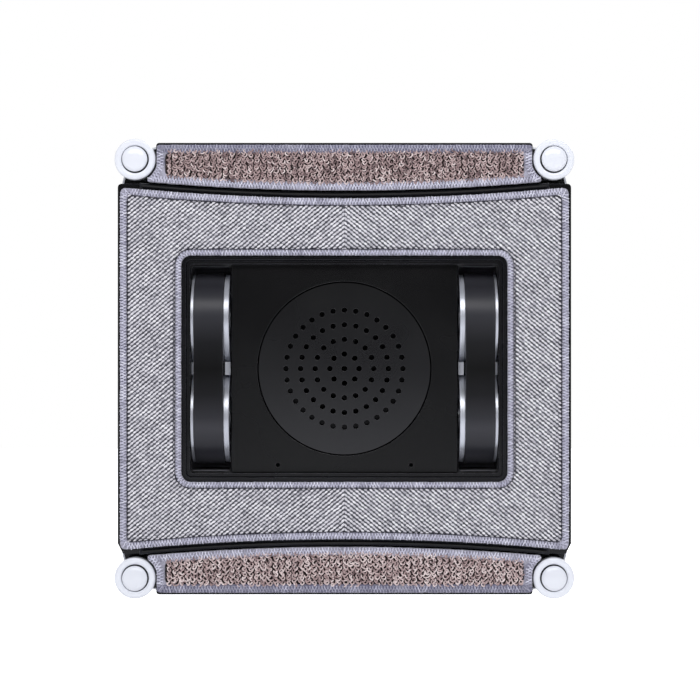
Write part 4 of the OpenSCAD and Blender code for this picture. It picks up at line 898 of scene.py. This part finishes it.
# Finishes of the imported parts
finishes = {
    plate_black: ["base_plate"],
    disc_grey: ["vent_grille"],
    chassis_black: [n for n in nodes if n.startswith("chassis_")] + ["top_bumper", "bottom_bumper"],
    frame_nylon: ["left_track_frame", "right_track_frame"],
    hook_tape(): ["pad_hook_board"],
    blade_rubber: ["top_squeegee_blade", "bottom_squeegee_blade"],
    black_anodised: ["top_squeegee_rail", "bottom_squeegee_rail"],
    satin_white: ["back_cover", "handle"],
    gloss_white: [n for n in nodes if n.endswith("_roller") or n.endswith("_edge_sensor")],
    nylon_black: [
        "top_roller_posts", "bottom_roller_posts", "bump_switches", "rocker_housing", "button_bezel",
    ],
    blower_black: ["fan_housing", "fan_impeller"],
    grip_rubber: ["handle_grip"],
    lamp_plastic: ["status_light"],
    button_grey: ["start_button", "exhaust_grille"],
    socket_black: ["power_socket", "power_rocker"],
    belt_rubber: ["left_tread_belt", "right_tread_belt"],
    plated_steel: [n for n in nodes if n.endswith("_wheel")],
    zinc_can: ["fan_motor", "left_gearmotor", "right_gearmotor", "tether_lug"],
    spring_steel: [n for n in nodes if n.endswith("springs") or n == "button_spring"],
    oxide_steel: ["housing_screws"],
    film_blue: ["battery_pack"],
    board_material(): ["main_board"],
}
for material, names in finishes.items():
    for name in names:
        nodes[name].data.materials.clear()
        nodes[name].data.materials.append(material)
        if not nodes[name].hide_render:
            select_only(nodes[name])
            bpy.ops.object.shade_smooth_by_angle(angle=math.radians(32))

# The white surroundings. Reflections see them white behind the machine and dark before it.
world = bpy.data.worlds.new("white_studio")
scene.world = world
world.use_nodes = True
sky = world.node_tree
sky.nodes.clear()
rays = add(sky, "ShaderNodeLightPath")
direction = add(sky, "ShaderNodeTexCoord").outputs["Generated"]
facing = add(sky, "ShaderNodeSeparateXYZ", None, {"Vector": direction}).outputs["Y"]
behind = stretched(sky, facing, -0.15, 0.3)
mirrored = between(sky, behind, linear("#1c1c1e"), linear("#ffffff"))
shiny = add(
    sky, "ShaderNodeMath", {"operation": "MAXIMUM"},
    {0: rays.outputs["Is Glossy Ray"], 1: rays.outputs["Is Transmission Ray"]},
).outputs[0]
tint = between(sky, shiny, linear("#c3c5cc"), mirrored)
tint = between(sky, rays.outputs["Is Camera Ray"], tint, linear("#ffffff"))
add(sky, "ShaderNodeOutputWorld", None, {
    "Surface": add(sky, "ShaderNodeBackground", None, {"Color": tint, "Strength": 1.0}).outputs[0]
})

# A pale floor below the machine, white to the camera but for the shadow on it
bpy.ops.object.select_all(action="DESELECT")
bpy.ops.mesh.primitive_plane_add(size=6, location=(0, 0, -0.2))
floor = bpy.context.object
floor.name = "studio_floor"
floor_paint, floor_tree, floor_place = new_material("white_floor_paint")
floor_cloud = add(floor_tree, "ShaderNodeTexNoise", None, {"Vector": floor_place, "Scale": 2.0})
floor_white = between(floor_tree, floor_cloud.outputs[0], linear("#f4f4f5"), linear("#fafafa"))
floor_matt = add(floor_tree, "ShaderNodeBsdfDiffuse", None, {"Color": floor_white})
floor_seen = add(
    floor_tree, "ShaderNodeMath", {"operation": "MULTIPLY"},
    {0: add(floor_tree, "ShaderNodeLightPath").outputs["Is Camera Ray"], 1: 0.78},
).outputs[0]
floor_glow = add(floor_tree, "ShaderNodeEmission", None, {"Color": linear("#ffffff"), "Strength": floor_seen})
close_material(floor_tree, add(
    floor_tree, "ShaderNodeAddShader", None, {0: floor_matt.outputs[0], 1: floor_glow.outputs[0]}
))
floor.data.materials.append(floor_paint)


def soft_box(name, at, wide, high, power):
    """A rectangular lamp that is aimed at the machine and that the camera doesn't see."""
    lamp = bpy.data.lights.new(name, "AREA")
    lamp.shape = "RECTANGLE"
    lamp.size, lamp.size_y = wide, high
    lamp.energy = power
    made = bpy.data.objects.new(name, lamp)
    scene.collection.objects.link(made)
    made.location = at
    made.rotation_euler = (-Vector(at)).to_track_quat("-Z", "Y").to_euler()
    made.visible_camera = False


# Two soft boxes before the glass side, one above and one below, and one behind for the cover
soft_box("upper_box", (0.0, -0.80, 0.62), wide=1.1, high=0.35, power=5.0)
soft_box("lower_box", (0.0, -0.80, -0.60), wide=1.1, high=0.35, power=8.2)
soft_box("back_box", (0.5, 0.9, 0.8), wide=0.8, high=0.8, power=7.0)

# The camera, one metre before the glass side, a few millimetres right of its middle and above it
CAMERA_AWAY = 1.0
CAMERA_RIGHT = 2.98
CAMERA_UP = 9.99
LENS_PER_METRE = 96.56
lens = bpy.data.cameras.new("photo_camera")
lens.sensor_width = 36
lens.lens = LENS_PER_METRE * CAMERA_AWAY
camera = bpy.data.objects.new("photo_camera", lens)
scene.collection.objects.link(camera)
camera.location = (CAMERA_RIGHT * MM, -CAMERA_AWAY, CAMERA_UP * MM)
camera.rotation_euler = (math.pi / 2, 0, 0)
scene.camera = camera
scene.view_settings.view_transform = "Standard"

bpy.context.view_layer.update()
